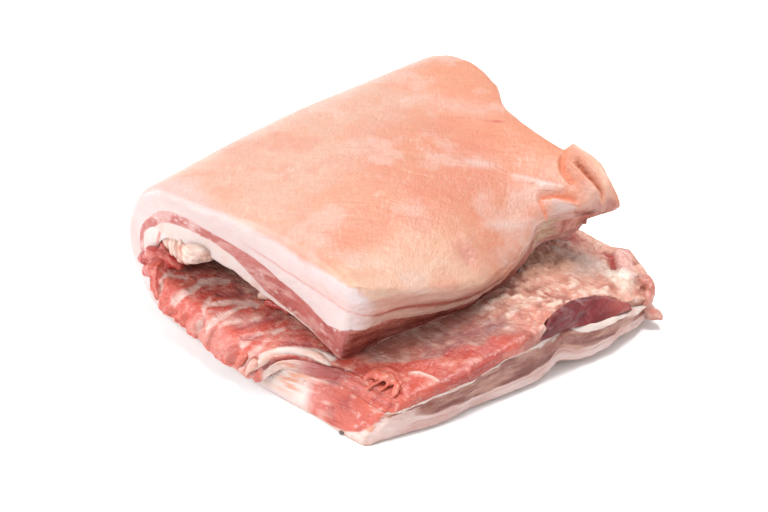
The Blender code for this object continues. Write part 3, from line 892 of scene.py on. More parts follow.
def outer_fat():
    """The rind and the pale fat under it, round the whole fold."""
    us = joined(steps(0, 1, 0.0060, 0.03), steps(1, 2, 0.016), steps(2, 2.9, 0.03),
        steps(2.9, 3, 0.006, 0, 0.03))
    ts = steps(0, 1, 0.0044, 0.025, 0.02)
    u, t = np.meshgrid(us, ts)
    rind_face = lambda u, t: 0 * u
    body = Piece(u, t, rind_face, moved(OUTER_AT, DEEP_TUCK), np.linspace(0, 1, 30), fine_meat=False)
    u, t, d = body.u, body.t, body.d
    r_near = from_mm(u, (0, 0.08, 0.3, 0.6, 0.85, 1.1, 1.4, 2, 3), (4, 6, 13, 16, 14, 10, 7, 3, 2))
    r_far = from_mm(u, (0, 0.3, 1, 3), (9, 6, 4, 3))
    r_side = np.where(u < 1.5, np.interp(t, (0, 0.40, 0.52, 0.66, 0.84, 1),
            (0.0035, 0.0035, 0.008, 0.005, 0.009, 0.010)), 0.004)
    u2, t2, d2 = round_edges(u, t, d, 0.0, r_near, r_far, r_side)
    flat = place(u2, t2, d2)
    p, s_near, s_far, s_side = shape_cuts(flat, u2, t2, d2, 0.0)
    height, crease, pale, roll = rind_relief(flat)
    upper = ramp(1.25 - u, 0, 0.3)
    p[:, 2] += np.clip(height, -7, 9) / 1000 * upper * (1 - body.w) ** 0.7
    bend = stacked(np.sin((np.clip(u, 1, 2) - 1) * np.pi) * -1, 0 * u,
        np.cos((np.clip(u, 1, 2) - 1) * np.pi))
    p += bend * (0.0006 * fbm(flat, 0.05, 3, 44) * (u > 1) * (u < 2) * (1 - body.w))[:, None]
    p[:, 2] = np.where(u > 1.9, np.maximum(p[:, 2], 0), p[:, 2])
    c = rind_paint(flat, crease * upper, pale * upper)
    c = mix(c, rgb(252, 206, 182), 0.7 * roll * upper)
    c = mix(c, rgb(238, 196, 178), 0.7 * ramp(u, 1.35, 1.9))
    # The near cut: white fat whose border with the rind is soft, and lies well back on the
    # rind where the bend begins.
    fat = mix(WHITE_FAT, PINK_FAT, 0.25 + 0.6 * fbm(flat, 0.016, 3, 60))
    streak_d = (from_mm(u, (0, 0.1, 0.25, 0.36, 0.47, 0.6, 0.7), (22.5, 23.5, 25.5, 27.5, 27, 23, 18))
        + 0.0004 * fbm(flat, 0.014, 2, 61))
    streak = bell(d - streak_d, 0.0008) * ramp(0.70 - u, 0, 0.15)
    fat = mix(fat, rgb(232, 160, 148), 0.85 * streak)
    fat = mix(fat, rgb(238, 196, 186), 0.5 * bell(d - streak_d + 0.004, 0.003) * ramp(0.5 - u, 0, 0.3))
    edge = upper_side_paint(flat, t, d, body.w, s_near, fat)
    edge = np.where((u > 2)[:, None], lower_side_paint(flat, t, d), edge)
    fat2 = np.where(((s_side < s_near) & (s_side < 0.004))[:, None], edge, fat)
    lowcut = on_slope(u, s_near, s_side)
    fat2 = np.where(lowcut[:, None], slope_paint(flat, d), fat2)
    cut = (s_near < 0.003) | (s_far < 0.003) | (s_side < 0.003)
    on_side = from_mm(t, (0, 0.03, 0.07, 0.13, 0.45, 0.50, 0.60, 0.66, 0.70, 0.85),
        (2, 8, 11, 4.5, 3, 8, 12, 5, 3, 7))
    border = (np.where(s_near < 0.003, 0.0015, np.where(u < 1.5, on_side, 0.0012))
        + 0.0012 * fbm(flat, 0.008, 3, 58))
    on_cut = ramp(d, border * 0.6, border * 1.1 + 0.0003) * cut
    upper_near = (u < 2.05) & (s_near < s_side)
    c = mix(c, fat2, np.where((body.w > 0) & ~upper_near, on_cut, 0))
    # Painted shade: the fat on the rounded top of the near cut is made darker and pinker, since it faces up
    # into more light than the cut below it.
    fat = mix(fat, rgb(236, 206, 198), 0.9 * ramp(s_near, 0.001, 0.007) * (s_near < s_side))
    # Painted shade along the rounded near edge, where the light would otherwise show as a bright band.
    arc_shade = bell(s_near - d, 0.006) * ramp(0.016 - s_near, 0, 0.006) * ramp(u, 0.1, 0.3) * (u < 1.6)
    fat = mix(fat, fat * (0.90, 0.86, 0.86), 0.8 * arc_shade)
    fat = mix(fat, fat * (0.97, 0.94, 0.93), ramp(-flat[:, 0] * 1000, 30, 80) * (u < 1.6))
    reach = ((d - s_near) * 1000 + 2.5 * fbm(flat, 0.012, 3, 54)
        - np.interp(u, (0, 0.1, 0.36, 0.60, 0.72, 0.85, 1.0, 1.3, 1.6, 2),
            (3, 4, 10, 7, 0, -9, -17, -22, -14, -3)))
    soft = np.interp(u, (0, 0.1, 0.4, 0.8, 1.3, 2), (0.8, 1.5, 4, 7, 10, 3))
    c = mix(c, fat, ramp(reach, -soft, soft) * (u < 2.05) * (s_near < 0.045)
        * ((s_near < s_side) | (body.w == 0)))
    lean_here = on_slope(u, s_near, s_side) & (flat[:, 0] > 0.043)
    own = zip(body.tags, body.faces)
    body.tags = [APART if tag == WALL and lean_here[face[0]] else tag for tag, face in own]
    body.add(lump((78, -138.6, 1.5), (2.4, 1.6, 1.3), 250, 0.2, 30), rgb(116, 88, 84), 1)
    body.build("outer_fat_look", "outer_fat", p, c, 0, [RIND, FAT, FAT, LEANS])


# ---------------------------------------------------------------- inner layers
def main_lean():
    """The dusky lean layer, which shows only at its cut edges."""
    us = joined(steps(0, 1, 0.0075, 0.03), steps(1, 2, 0.014), steps(2, 3, 0.0075, 0, 0.03))
    ts = steps(0, 1, 0.005, 0.02, 0.02)
    u, t = np.meshgrid(us, ts)
    body = Piece(u, t, moved(OUTER_AT, -TUCK), moved(LEAN_AT, TUCK), np.linspace(0, 1, 24), fine_rind=False,
        fine_meat=False)
    flat = place(body.u, body.t, body.d)
    p, s_near, _, s_side = shape_cuts(flat, body.u, body.t, body.d, 0.0)
    u, t, w = body.u, body.t, body.w
    blotch = fbm(flat, 0.010, 4, 71)
    c = mix(DUSKY, rgb(196, 98, 90), 0.5 + 1.1 * fbm(flat, 0.014, 5, 70))
    c = mix(c, rgb(186, 84, 76), 0.6 * ramp(flat[:, 0] * 1000 + 6 * blotch, 0, 60) * (u < 0.6))
    fold = ramp(u, 0.55, 1.0) * (u < 2)
    c = mix(c, rgb(214, 112, 104), fold * 0.5)
    c = mix(c, rgb(246, 206, 200), fold * ramp(blotch, 0.0, 0.35) * 0.85)
    # Fat flecks and thin pale lines run along the band.
    along = stacked(u * SHEET_SIZE[0] * 0.22, flat[:, 1], body.d)
    lines = fbm(along * (1, 0.2, 1), 0.0045, 3, 75)
    c = mix(c, rgb(244, 196, 186), 0.55 * ramp(lines, 0.08, 0.45))
    near, _ = cells(flat * (1, 1, 1.5), 0.006, 72)
    c = mix(c, rgb(246, 212, 206), 0.8 * ramp(0.34 - near, 0, 0.15)
        * ramp(fbm(flat, 0.02, 2, 73), -0.1, 0.3))
    edge_soft = np.minimum(w, 1 - w) * (body.high - body.low) * 1000
    c = mix(c, rgb(240, 186, 178), 0.45 * ramp(edge_soft + 0.8 * fbm(flat, 0.006, 2, 76), 1.2, 0.2)
        * (u < 2))
    side = (s_side < s_near) & (u < 0.5)
    far_side = mix(rgb(248, 182, 164), rgb(206, 124, 108), 0.45
        + 1.6 * fbm(flat * (1, 1, 0.3), 0.0035, 3, 78))
    far_side = mix(far_side, TAN, ramp(blob(flat[:, 1:], 64, 52, 14, 16, 30)
            + 0.2 * fbm(flat, 0.004, 2, 79), 0.35, 0.6))
    # On the side the lean is darker: partly its own colour, partly painted shade for a face turned away
    # from the light.
    dark = mix(DARK_LEAN, rgb(206, 124, 106), 0.25 + 1.0 * fbm(flat * (1, 0.3, 2), 0.008, 4, 77)
        + 0.35 * ramp(w, 0.4, 0.0))
    dark = mix(dark, far_side, ramp(t, 0.6, 0.75))
    c = np.where(side[:, None], dark, c)
    rough = mix(rgb(160, 88, 72), rgb(216, 166, 144), 0.40 + 1.1 * fbm(flat * (1, 0.5, 1.6), 0.008, 4, 69))
    rough = mix(rough, rgb(250, 222, 214), 0.85 * ramp(0.17 - t + 0.05 * blotch, 0, 0.09))
    c = np.where(((u > 2) & (s_side < s_near))[:, None], rough, c)
    c = np.where(on_slope(u, s_near, s_side)[:, None], slope_paint(flat, body.d), c)
    body.build("main_lean_look", "main_lean", p, c, 0, [LEANS])


def seam_fat():
    """The thin pale layer inside the fold, and the lumps in the bend."""
    us = joined(steps(0, 1, 0.0085, 0.02), steps(1, 2, 0.012), steps(2, 3, 0.010, 0, 0.02))
    ts = steps(0, 1, 0.0068, 0.02, 0.02)
    u, t = np.meshgrid(us, ts)
    body = Piece(u, t, moved(LEAN_AT, -TUCK), SEAM_AT, np.linspace(0, 1, 11), fine_rind=False)
    flat = place(body.u, body.t, body.d)
    p, s_near, _, s_side = shape_cuts(flat, body.u, body.t, body.d, 0.0)
    u, t, w = body.u, body.t, body.w
    upper = ramp(1.75 - u, 0, 0.25)
    sag = np.abs(fbm(flat, 0.014, 3, 80)) * 0.0022 + 0.0006 * fbm(flat, 0.005, 3, 81)
    angle = np.clip(u - 1, 0, 1) * np.pi
    inward = stacked(np.sin(angle), 0 * u, -np.cos(angle))
    p += inward * (sag * w * upper)[:, None]
    c = mix(rgb(247, 224, 214), WHITE_FAT, 0.5 + 0.7 * fbm(flat, 0.012, 3, 82))
    c = mix(c, rgb(240, 196, 182), 0.5 * ramp(fbm(flat, 0.008, 3, 84), 0.1, 0.5))
    c = mix(c, rgb(206, 120, 106), 0.45 * ramp(fbm(flat, 0.016, 4, 83), 0.05, 0.45)
        * ramp(s_near, 0.002, 0.012))
    c = mix(c, rgb(206, 120, 112), 0.85 * ramp(0.34 - u + 0.1 * fbm(flat, 0.01, 2, 82), 0, 0.12)
        * (s_near < 0.004))
    side = s_side < s_near
    c = np.where((side & (u < 0.5))[:, None],
        mix(rgb(190, 110, 98), rgb(226, 176, 162), 0.4 + 0.9 * fbm(flat * (1, 0.3, 2), 0.008, 3, 77)), c)
    membrane = mix(rgb(252, 234, 224), rgb(206, 142, 124), 0.10
        + 1.3 * fbm(flat * (1, 0.4, 2), 0.009, 4, 85))
    crumbs = mix(rgb(160, 90, 74), rgb(226, 176, 154), 0.42 + 1.5 * fbm(flat * (1, 0.4, 1.6), 0.008, 5, 69))
    membrane = mix(crumbs, membrane, ramp(w + 1.0 * fbm(flat * (1, 0.7, 2), 0.012, 4, 86), 0.40, 0.62))
    c = np.where((side & (u > 2))[:, None], membrane, c)
    c = np.where(((u > 2) & (s_near < 0.004) & ~side)[:, None], slope_paint(flat, body.d), c)
    # Painted shade where the fold's inner gap lies: an orange-red crease line and a dark red spot at its
    # foot, drawn on the flat cut.
    crease = (ridge(stacked(flat[:, 0], flat[:, 2]), [(-107, 69), (-111, 61), (-114, 53)], 1.1, 0.1)
        * (s_near < 0.004))
    c = mix(c, rgb(214, 96, 66), 0.9 * crease)
    c = mix(c, rgb(110, 20, 14), blob(stacked(flat[:, 0], flat[:, 2]), -112, 53, 4.0, 3.4)
        * (s_near < 0.004))
    # Lumps of fat crowd the inside of the fold at the near cut.
    places = (
        ((-106, -125, 62), (4.5, 5, 9), 60),
        ((-100, -127, 58), (2.6, 4, 8), 60),
        ((-95, -125, 60), (3.4, 7, 9), 20),
        ((-90, -127, 59), (3, 4, 9), 70),
        ((-78, -121, 62), (13, 11, 7), 22),
        ((-75, -124, 66), (10, 7, 4), 28),
        ((-98, -106, 60), (14, 18, 10), 0),
        ((-91, -126, 52), (3.6, 4, 3.6), 0),
        ((-86, -125, 53), (3.4, 4, 3), 40),
        ((-80, -126, 57), (8, 5, 3.5), 20),
        ((-68, -102, 65), (16, 12, 8), 30),
    )
    points, faces = melt([lump(centre, radii, 180 + k, 0.16, turn) for k,
            (centre, radii, turn) in enumerate(places)], 0.7, 3)
    reach = []
    for centre, radii, turn in places:
        gap = points * 1000 - centre
        cos, sin = math.cos(math.radians(turn)), math.sin(math.radians(turn))
        round_it = stacked(gap[:, 0] * cos + gap[:, 1] * sin, gap[:, 1] * cos - gap[:, 0] * sin, gap[:, 2])
        reach.append(np.linalg.norm(round_it / radii, axis=1))
    reach = np.sort(np.array(reach), 0)
    shade = mix(rgb(250, 226, 212), rgb(240, 188, 166), 0.35 + 1.1 * fbm(points, 0.007, 3, 188))
    # Painted shade, orange-red, in the crevices where two lumps meet.
    shade = mix(shade, rgb(222, 120, 88), 0.75 * ramp(0.22 - (reach[1] - reach[0]), 0, 0.16)
        * ramp(points[:, 0] * -1000, 82, 90))
    shade = mix(shade, rgb(222, 150, 124),
        ramp(points[:, 2] * 1000 + 2 * fbm(points, 0.005, 2, 189), 54, 48))
    body.add((points, faces), shade, 0)
    body.build("seam_fat_look", "seam_fat", p, c, 0, [FAT])


# Pale fat between the ribs' lean, each with its width: plan positions in mm.
STREAKS = (
    (1.8, [(-101, -134), (-99, -140), (-97, -144), (-94, -149)]),
    (2.4, [(-101, -134), (-96, -129), (-87, -125)]),
    (3.6, [(-82, -148), (-77, -140), (-76, -131), (-76, -121), (-72, -112), (-62, -104)]),
    (1.6, [(-50, -153), (-51, -144), (-56, -136), (-61, -127)]),
    (3.4, [(-56, -136), (-53, -127), (-48, -119), (-39, -113), (-29, -109)]),
    (2.6, [(-41, -150), (-41, -141), (-40, -133), (-38, -122), (-36, -112)]),
    (3.0, [(-37, -145), (-33, -136), (-28, -126), (-19, -119)]),
    (3.8, [(-12, -148), (-10, -141), (-10, -133), (-11, -126)]),
    (3.0, [(-5, -153), (-1, -148), (1, -142), (-1, -133), (-2, -122), (1, -114)]),
)
# Notches in the overhang: place, width and depth.
NOTCHES = ((-97, 2.0, 0.9), (-79, 3.5, 0.5), (-64, 2.0, 0.35), (-50, 2.5, 1.0), (-36, 2.0, 0.4),
    (-12, 4.0, 0.8), (3, 2.0, 0.6))
# The cream strip of fat by the near cut, its outer border, and the groove beside it.
STRIP = [(6, -149), (8, -144), (10, -137), (14, -130), (21, -124), (30, -119.5), (39, -118), (47, -118)]
STRIP_Z = (19, 24, 27.5, 28.5, 29, 29, 28.5, 27.5)
STRIP_RADII = ((1.5, 1.2), (2.6, 2.4), (3.4, 3), (3.6, 3.2), (3.6, 3.2), (3.8, 3), (3.4, 2.4), (1.6, 1.2))
STRIP_EDGE = [(11, -146), (15, -138), (20, -129), (30, -125), (44, -122), (54, -120)]
GROOVE = [(9, -150), (15, -144), (20, -138), (26, -133), (36, -130), (47, -126), (57, -122), (66, -118),
    (74, -115), (83, -111)]
# Dusky furrows, each with its width.
DUSK = (
    (4.0, [(-63, -123), (-58, -117), (-52, -111), (-47, -104)]),
    (2.6, [(-27, -138), (-23, -130), (-19, -121), (-13, -112), (-7, -105)]),
    (2.4, [(-16, -141), (-11, -134), (-9, -128)]),
    (2.4, [(7, -131), (13, -123), (20, -116), (24, -111)]),
)


# Strands as paths and radii in mm: red lumps at the mouth of the fold, the torn tuft near the
# corner, and with colours of their own two shreds and two ends that hang over the near cut.
FOLD_LUMPS = (
    ([(-131, -132, 37), (-124, -131, 41), (-116, -130, 44), (-108, -129, 43), (-100, -127, 41)],
        [(4, 3), (6, 5.5), (7, 6.5), (7, 6), (4, 4)]),
    ([(-108, -128, 47), (-103, -127, 49), (-97, -126, 46), (-93, -125, 42)],
        [(4, 4), (5, 5), (5, 5), (3, 3)]),
    ([(-124, -134, 32), (-117, -136, 35), (-111, -136, 38), (-105, -134, 40)],
        [(3, 3), (4, 4.5), (4, 4.5), (4, 4)]),
    ([(-110, -127, 59), (-108, -128, 54), (-105, -129, 49)], [(2, 2), (3, 3), (3, 3)]),
    ([(-122, -131, 47), (-115, -131, 50), (-108, -130, 50), (-101, -129, 48)],
        [(3, 3), (4.5, 4), (4.5, 4), (3, 3)]),
)
TUFT_STRANDS = (
    ([(72, -114, 26), (74, -109, 29), (79, -105, 30.5), (86, -103, 30.5), (93, -101, 28.5)],
        [(2.2, 1.4), (3.4, 2.2), (3.8, 2.6), (3.6, 2.4), (2, 1.2)]),
    ([(78, -109, 28), (82, -107, 31), (87, -106, 31.5), (92, -107, 29)],
        [(2, 1.6), (2.6, 2.0), (2.6, 2.0), (1.6, 1.2)]),
    ([(87, -104, 31), (94, -105, 30.5), (97, -109, 28.5), (97, -113, 25.5)],
        [(1.8, 1.4), (2.6, 2.0), (2.6, 1.8), (1.4, 1)]),
    ([(85, -105, 31.5), (84, -110, 30.5), (80, -115, 26.5), (79, -119, 24)],
        [(1.4, 1.2), (1.2, 1.1), (1.0, 0.9), (0.7, 0.7)]),
    ([(88, -105, 31), (89, -110, 29), (87, -115, 25.5)], [(1.2, 1.0), (1.3, 1.1), (0.8, 0.7)]),
)
SHREDS = (
    ([(-30, -107, 35), (-23, -103, 37), (-15, -102, 37), (-8, -104, 35)],
        [(2, 2), (4, 3.2), (4, 3), (2, 2)], rgb(206, 66, 54)),
    ([(-37, -106, 37), (-31, -103, 40), (-26, -101, 40)], [(2, 2), (4, 4), (2.5, 2.5)], rgb(248, 208, 190)),
)
DRIPS = (
    ([(6, -145, 25), (3, -149, 20), (0, -151, 13)], [(3, 2.6), (2.8, 2.4), (0.8, 0.8)], rgb(250, 196, 178)),
    ([(-4, -145, 26), (-7, -149, 20), (-9, -151, 15)], [(4, 3), (3.4, 3), (1, 1)], rgb(232, 116, 94)),
)


def jagged(u):
    """How far in t the border between rib lean and flank fat wanders, over a grid of u."""
    across = u.ravel()
    return 0.026 * fbm(stacked(across * 0.23, 0 * across, 0 * across), 0.03, 4, 90).reshape(u.shape)


def membrane(flat):
    """Height in mm and colour of the torn membrane over the lower half's far part."""
    rough, fine = fbm(flat, 0.016, 4, 110), fbm(flat, 0.0062, 4, 111)
    tiny = fbm(flat * (1, 0.7, 1), 0.0032, 3, 118)
    near, second = cells(flat + 0.003 * rough[:, None], 0.013, 112)
    h = 2.6 * rough + 1.9 * fine + 0.7 * tiny + 0.8 * ramp(second - near, 0, 0.35)
    c = mix(rgb(242, 190, 168), rgb(204, 128, 108), 0.45 + 1.3 * rough)
    c = mix(c, rgb(240, 150, 130), 0.45 * ramp(fbm(flat, 0.022, 3, 113), 0.05, 0.4))
    c = mix(c, rgb(252, 226, 208), 0.85 * ramp(fine + 0.3 * tiny + 0.35 * fbm(flat, 0.04, 2, 119), 0.06,
            0.42))
    c = mix(c, rgb(168, 96, 80), 0.75 * ramp(-fine - 0.8 * fbm(flat, 0.03, 3, 114), 0.14, 0.5))
    return h, c


def rib_lean():
    """The red lean on the near part of the lower half, hanging over its near cut."""
    us = steps(RIB_U[0], RIB_U[1], 0.0052, 0.02, 0.03)
    ts = joined(np.linspace(-1, 0, 14), steps(0, RIB_T[1], 0.0040))
    u, t = np.meshgrid(us, ts)
    jag = jagged(u)
    t = np.where(t > 0, t * (1 + (jag + 0.012) / RIB_T[1] * np.maximum(t, 0) / RIB_T[1]), t)
    body = Piece(u, t, moved(LOWER_SEAM_AT, 0.0001), INNER_AT, np.linspace(0, 1, 14), fine_rind=False)
    u, t, w = body.u, body.t, body.w
    thick = body.high - body.low
    # Rounds the top edges: depth is counted down from the top sheet.
    below = (1 - w) * thick
    wide = rail(LOWER_EDGE_X, np.clip(t, 0, 1)) - rail(FOLD_START_X, np.clip(t, 0, 1))
    s, below = rounded((3 - u) * wide, below, np.minimum(0.0045, thick * 0.9))
    u2 = np.where(u > 2, 3 - s / wide, u)
    d = body.high - below
    # Towards the free edge the lean ends with the slanted cut instead of overhanging it.
    hangs = ramp(26 - place(u2, t, d)[:, 0] * 1000, 0, 18)
    t = np.where(t < 0, t * hangs, t)
    flat = place(u2, t, d)
    p, s_near, _, s_side = shape_cuts(flat, u2, t, d, -hangs)
    n = len(p)
    xy = flat[:, :2]
    x, y = flat[:, 0] * 1000, flat[:, 1] * 1000
    warp = xy + 0.0034 * stacked(fbm(flat, 0.013, 4, 91), fbm(flat, 0.013, 4, 92))
    white = np.zeros(n)
    for size, points in STREAKS:
        white = np.maximum(white, ridge(warp, points, size, 0.08))
    white = white * (0.72 + 0.5 * fbm(flat, 0.014, 3, 88))
    strip, edge_line = ridge(xy, STRIP, 3.0, 0.06), ridge(xy, STRIP_EDGE, 2.2, 0.1)
    groove = ridge(xy, GROOVE, 1.3, 0.04)
    dusk = np.zeros(n)
    for size, points in DUSK:
        dusk = np.maximum(dusk, ridge(warp, points, size, 0.15))
    drawn = stacked((flat[:, 0] + flat[:, 1]) * 0.25, flat[:, 0] - flat[:, 1], flat[:, 2])
    marbling = ramp(np.abs(fbm(drawn, 0.014, 4, 93)), 0.12, 0.0)
    near_zone = ramp(-y, 88, 106) * ramp(58 - x, 0, 14)
    # Height in mm over the plain sheet.
    lumps = fbm(flat, 0.020, 3, 94) * 1.6 + fbm(flat, 0.007, 3, 95) * 0.6
    h = lumps * 0.9 - 0.7 * white * near_zone - 0.3 * marbling * near_zone - 0.8 * dusk
    h += 0.25 * fbm(flat * (1, 0.30, 1), 0.004, 3, 96)
    torn, torn_colour = membrane(flat)
    torn_here = ramp(y + 6 * fbm(flat, 0.012, 3, 105), -30, -6)
    h = h + (torn - h) * torn_here
    h += 1.0 * strip + 0.6 * edge_line - 3.2 * groove * ramp(64 - x, 0, 12)
    tuft = ridge(warp, [(74, -114), (73, -107), (77, -102), (85, -100), (92, -104), (94, -111)], 3.0, 0.1)
    hole = blob(xy, 86, -109, 3.2, 1.8, 20)
    pale_fibre = ridge(xy, [(89, -95), (94, -89), (101, -87), (108, -87)], 1.4, 0.1)
    h += 2.6 * tuft - 3.0 * hole + 1.0 * pale_fibre
    top = ramp(w, 0.2, 1.0)
    p[:, 2] += h / 1000 * top * (1 - 0.4 * fade(s_near, 0.003))
    # The overhang is notched where the pale streaks meet it, and its lumps stand out.
    notch = np.zeros(n)
    for at, size, deep in NOTCHES:
        notch = np.maximum(notch, deep * bell(x - at + 2.5 * fbm(flat, 0.01, 3, 97), size))
    flap = ramp(-t, -0.08, 1.0)
    ragged = fbm(stacked(flat[:, 0], 0 * flat[:, 0], flat[:, 2]), 0.005, 3, 98)
    p[:, 1] += ((0.0034 * notch + 0.0026 * ragged + 0.0006 + 0.0016 * fbm(flat * (1, 0, 0), 0.024, 2, 89))
        * flap * ramp(30 - x, 0, 15))
    p[:, 2] -= 0.002 * notch * flap * w
    # Colour, from the lean's own red to the skin and membrane over it.
    c = mix(RED, DEEP_RED, 0.20 + 0.7 * fbm(flat, 0.016, 4, 99))
    c = mix(c, rgb(242, 150, 128), 0.6 * ramp(fbm(flat, 0.008, 4, 100), 0.0, 0.45))
    c = mix(c, rgb(248, 190, 172), 0.45 * ramp(fbm(flat * (1, 0.4, 1), 0.004, 3, 109), 0.12, 0.4))
    c = mix(c, rgb(234, 92, 70), 0.6 * near_zone * ramp(-y, 130, 142))
    c = mix(c, rgb(250, 206, 192), 0.30 * near_zone * ramp(fbm(drawn, 0.026, 3, 101), 0.05, 0.4))
    crisp = ramp(white + 0.45 * fbm(flat * (1, 0.6, 1), 0.0045, 4, 87), 0.16, 0.72)
    c = mix(c, rgb(255, 214, 202), np.clip(0.92 * crisp + 0.26 * marbling, 0, 0.95) * near_zone)
    c = mix(c, rgb(190, 92, 90), 0.75 * dusk)
    skirt = np.interp(y, (-124, -116, -110, -105, -95, -86, -73, -59, -42, -28, -15),
        (48, 55, 58, 66, 76, 84, 92, 97, 102, 108, 118))
    inside = ramp(skirt + 8 * fbm(flat, 0.014, 5, 102) - x, -2.5, 3) * ramp(y, -112, -98)
    fibres = fbm(flat * (0.22, 1, 1), 0.0045, 4, 106)
    skin = mix(rgb(206, 146, 132), rgb(170, 104, 94), 0.35 + 0.9 * fbm(flat * (0.5, 1, 1), 0.012, 4, 103))
    skin = mix(skin, rgb(240, 206, 190), 0.75 * ramp(fibres, 0.05, 0.40))
    skin = mix(skin, rgb(214, 120, 104), 0.5 * ramp(fbm(flat, 0.018, 3, 107), 0.05, 0.4))
    skin = mix(skin, torn_colour, 0.35)
    c = mix(c, skin, inside * 0.95)
    c = mix(c, torn_colour, torn_here * 0.95)
    dusky = (ridge(xy, [(78, -84), (86, -64), (90, -48), (94, -34), (97, -22), (106, -10)], 11.0, 0.12)
        * ramp(fbm(flat * (1, 0.8, 1), 0.010, 4, 124), -0.16, 0.20))
    c = mix(c, rgb(148, 80, 84), 0.7 * dusky)
    # Dark purple-brown mottling under the upper half's free edge: partly the skin's own colour, partly
    # painted shade.
    c = mix(c, rgb(120, 60, 58), 0.5 * ramp(fbm(flat * (1, 0.6, 1), 0.012, 4, 125), 0.0, 0.35) * inside
        * ramp(-20 - y, 0, 20))
    c = mix(c, rgb(176, 52, 42), 0.6 * ramp(fbm(flat * (1, 0.8, 1.5), 0.006, 3, 108), -0.2, 0.4)
        * (s_side < 0.004) * (1 - torn_here))
    c = mix(c, rgb(252, 222, 208), 0.95 * pale_fibre)
    c = mix(c, rgb(240, 134, 112), 0.6 * tuft)
    # Painted shade deepens the dented hole beside the tuft.
    c = mix(c, rgb(120, 26, 20), np.clip(1.2 * hole, 0, 0.9))
    c = mix(c, rgb(246, 176, 156), 0.9 * edge_line)
    c = mix(c, rgb(255, 240, 232), np.clip(1.35 * strip, 0, 0.97))
    c = mix(c, rgb(150, 52, 40), np.clip(1.2 * groove, 0, 0.9) * ramp(70 - x, 0, 14))
    before = (ramp(np.interp(x, [g[0] for g in GROOVE], [g[1] for g in GROOVE]) - y, -0.5, 1.5)
        * ramp(x, 8, 13))
    c = mix(c, slope_paint(flat, d), np.maximum(before, (s_near < 0.003) * ramp(x, 10, 16)))
    reds = melt(strands(FOLD_LUMPS, 190, 0.3))
    shade = mix(rgb(206, 54, 42), rgb(240, 150, 130), 0.10
        + 1.3 * fbm(reds[0] * (1, 1, 2.5), 0.008, 4, 196))
    body.add(reds, shade, 0)
    for k, (path, size, colour) in enumerate(SHREDS):
        body.add(strand(path, size, 200 + k, 0.2), colour, 0)
    band = strand([(*at, z) for at, z in zip(STRIP, STRIP_Z)], STRIP_RADII, 230, 0.14, 26, 8)
    shade = mix(rgb(254, 232, 222), rgb(246, 184, 160), 0.1
        + 1.0 * fbm(band[0] * (0.5, 0.5, 1), 0.006, 3, 231))
    body.add(band, shade, APART)
    for k, (path, size, colour) in enumerate(DRIPS):
        body.add(strand(path, size, 240 + k, 0.25), colour, 0)
    tufts = melt(strands(TUFT_STRANDS, 220, 0.35), 0.6, 3)
    shade = mix(rgb(236, 112, 90), rgb(250, 176, 150), 0.2
        + 1.3 * fbm(tufts[0] * (1, 1, 1.5), 0.005, 3, 226))
    body.add(tufts, shade, 0)
    body.build("rib_lean_look", "rib_lean", p, c, 0.15 * inside, [LEANS, LEANS, LEANS, FAT])


def flank_edge(t):
    """The u at which the flank fat ends and its strip of muscle begins."""
    return rail(FLANK_RIM_U, (t - FLANK_T[0]) / (FLANK_T[1] - FLANK_T[0]))


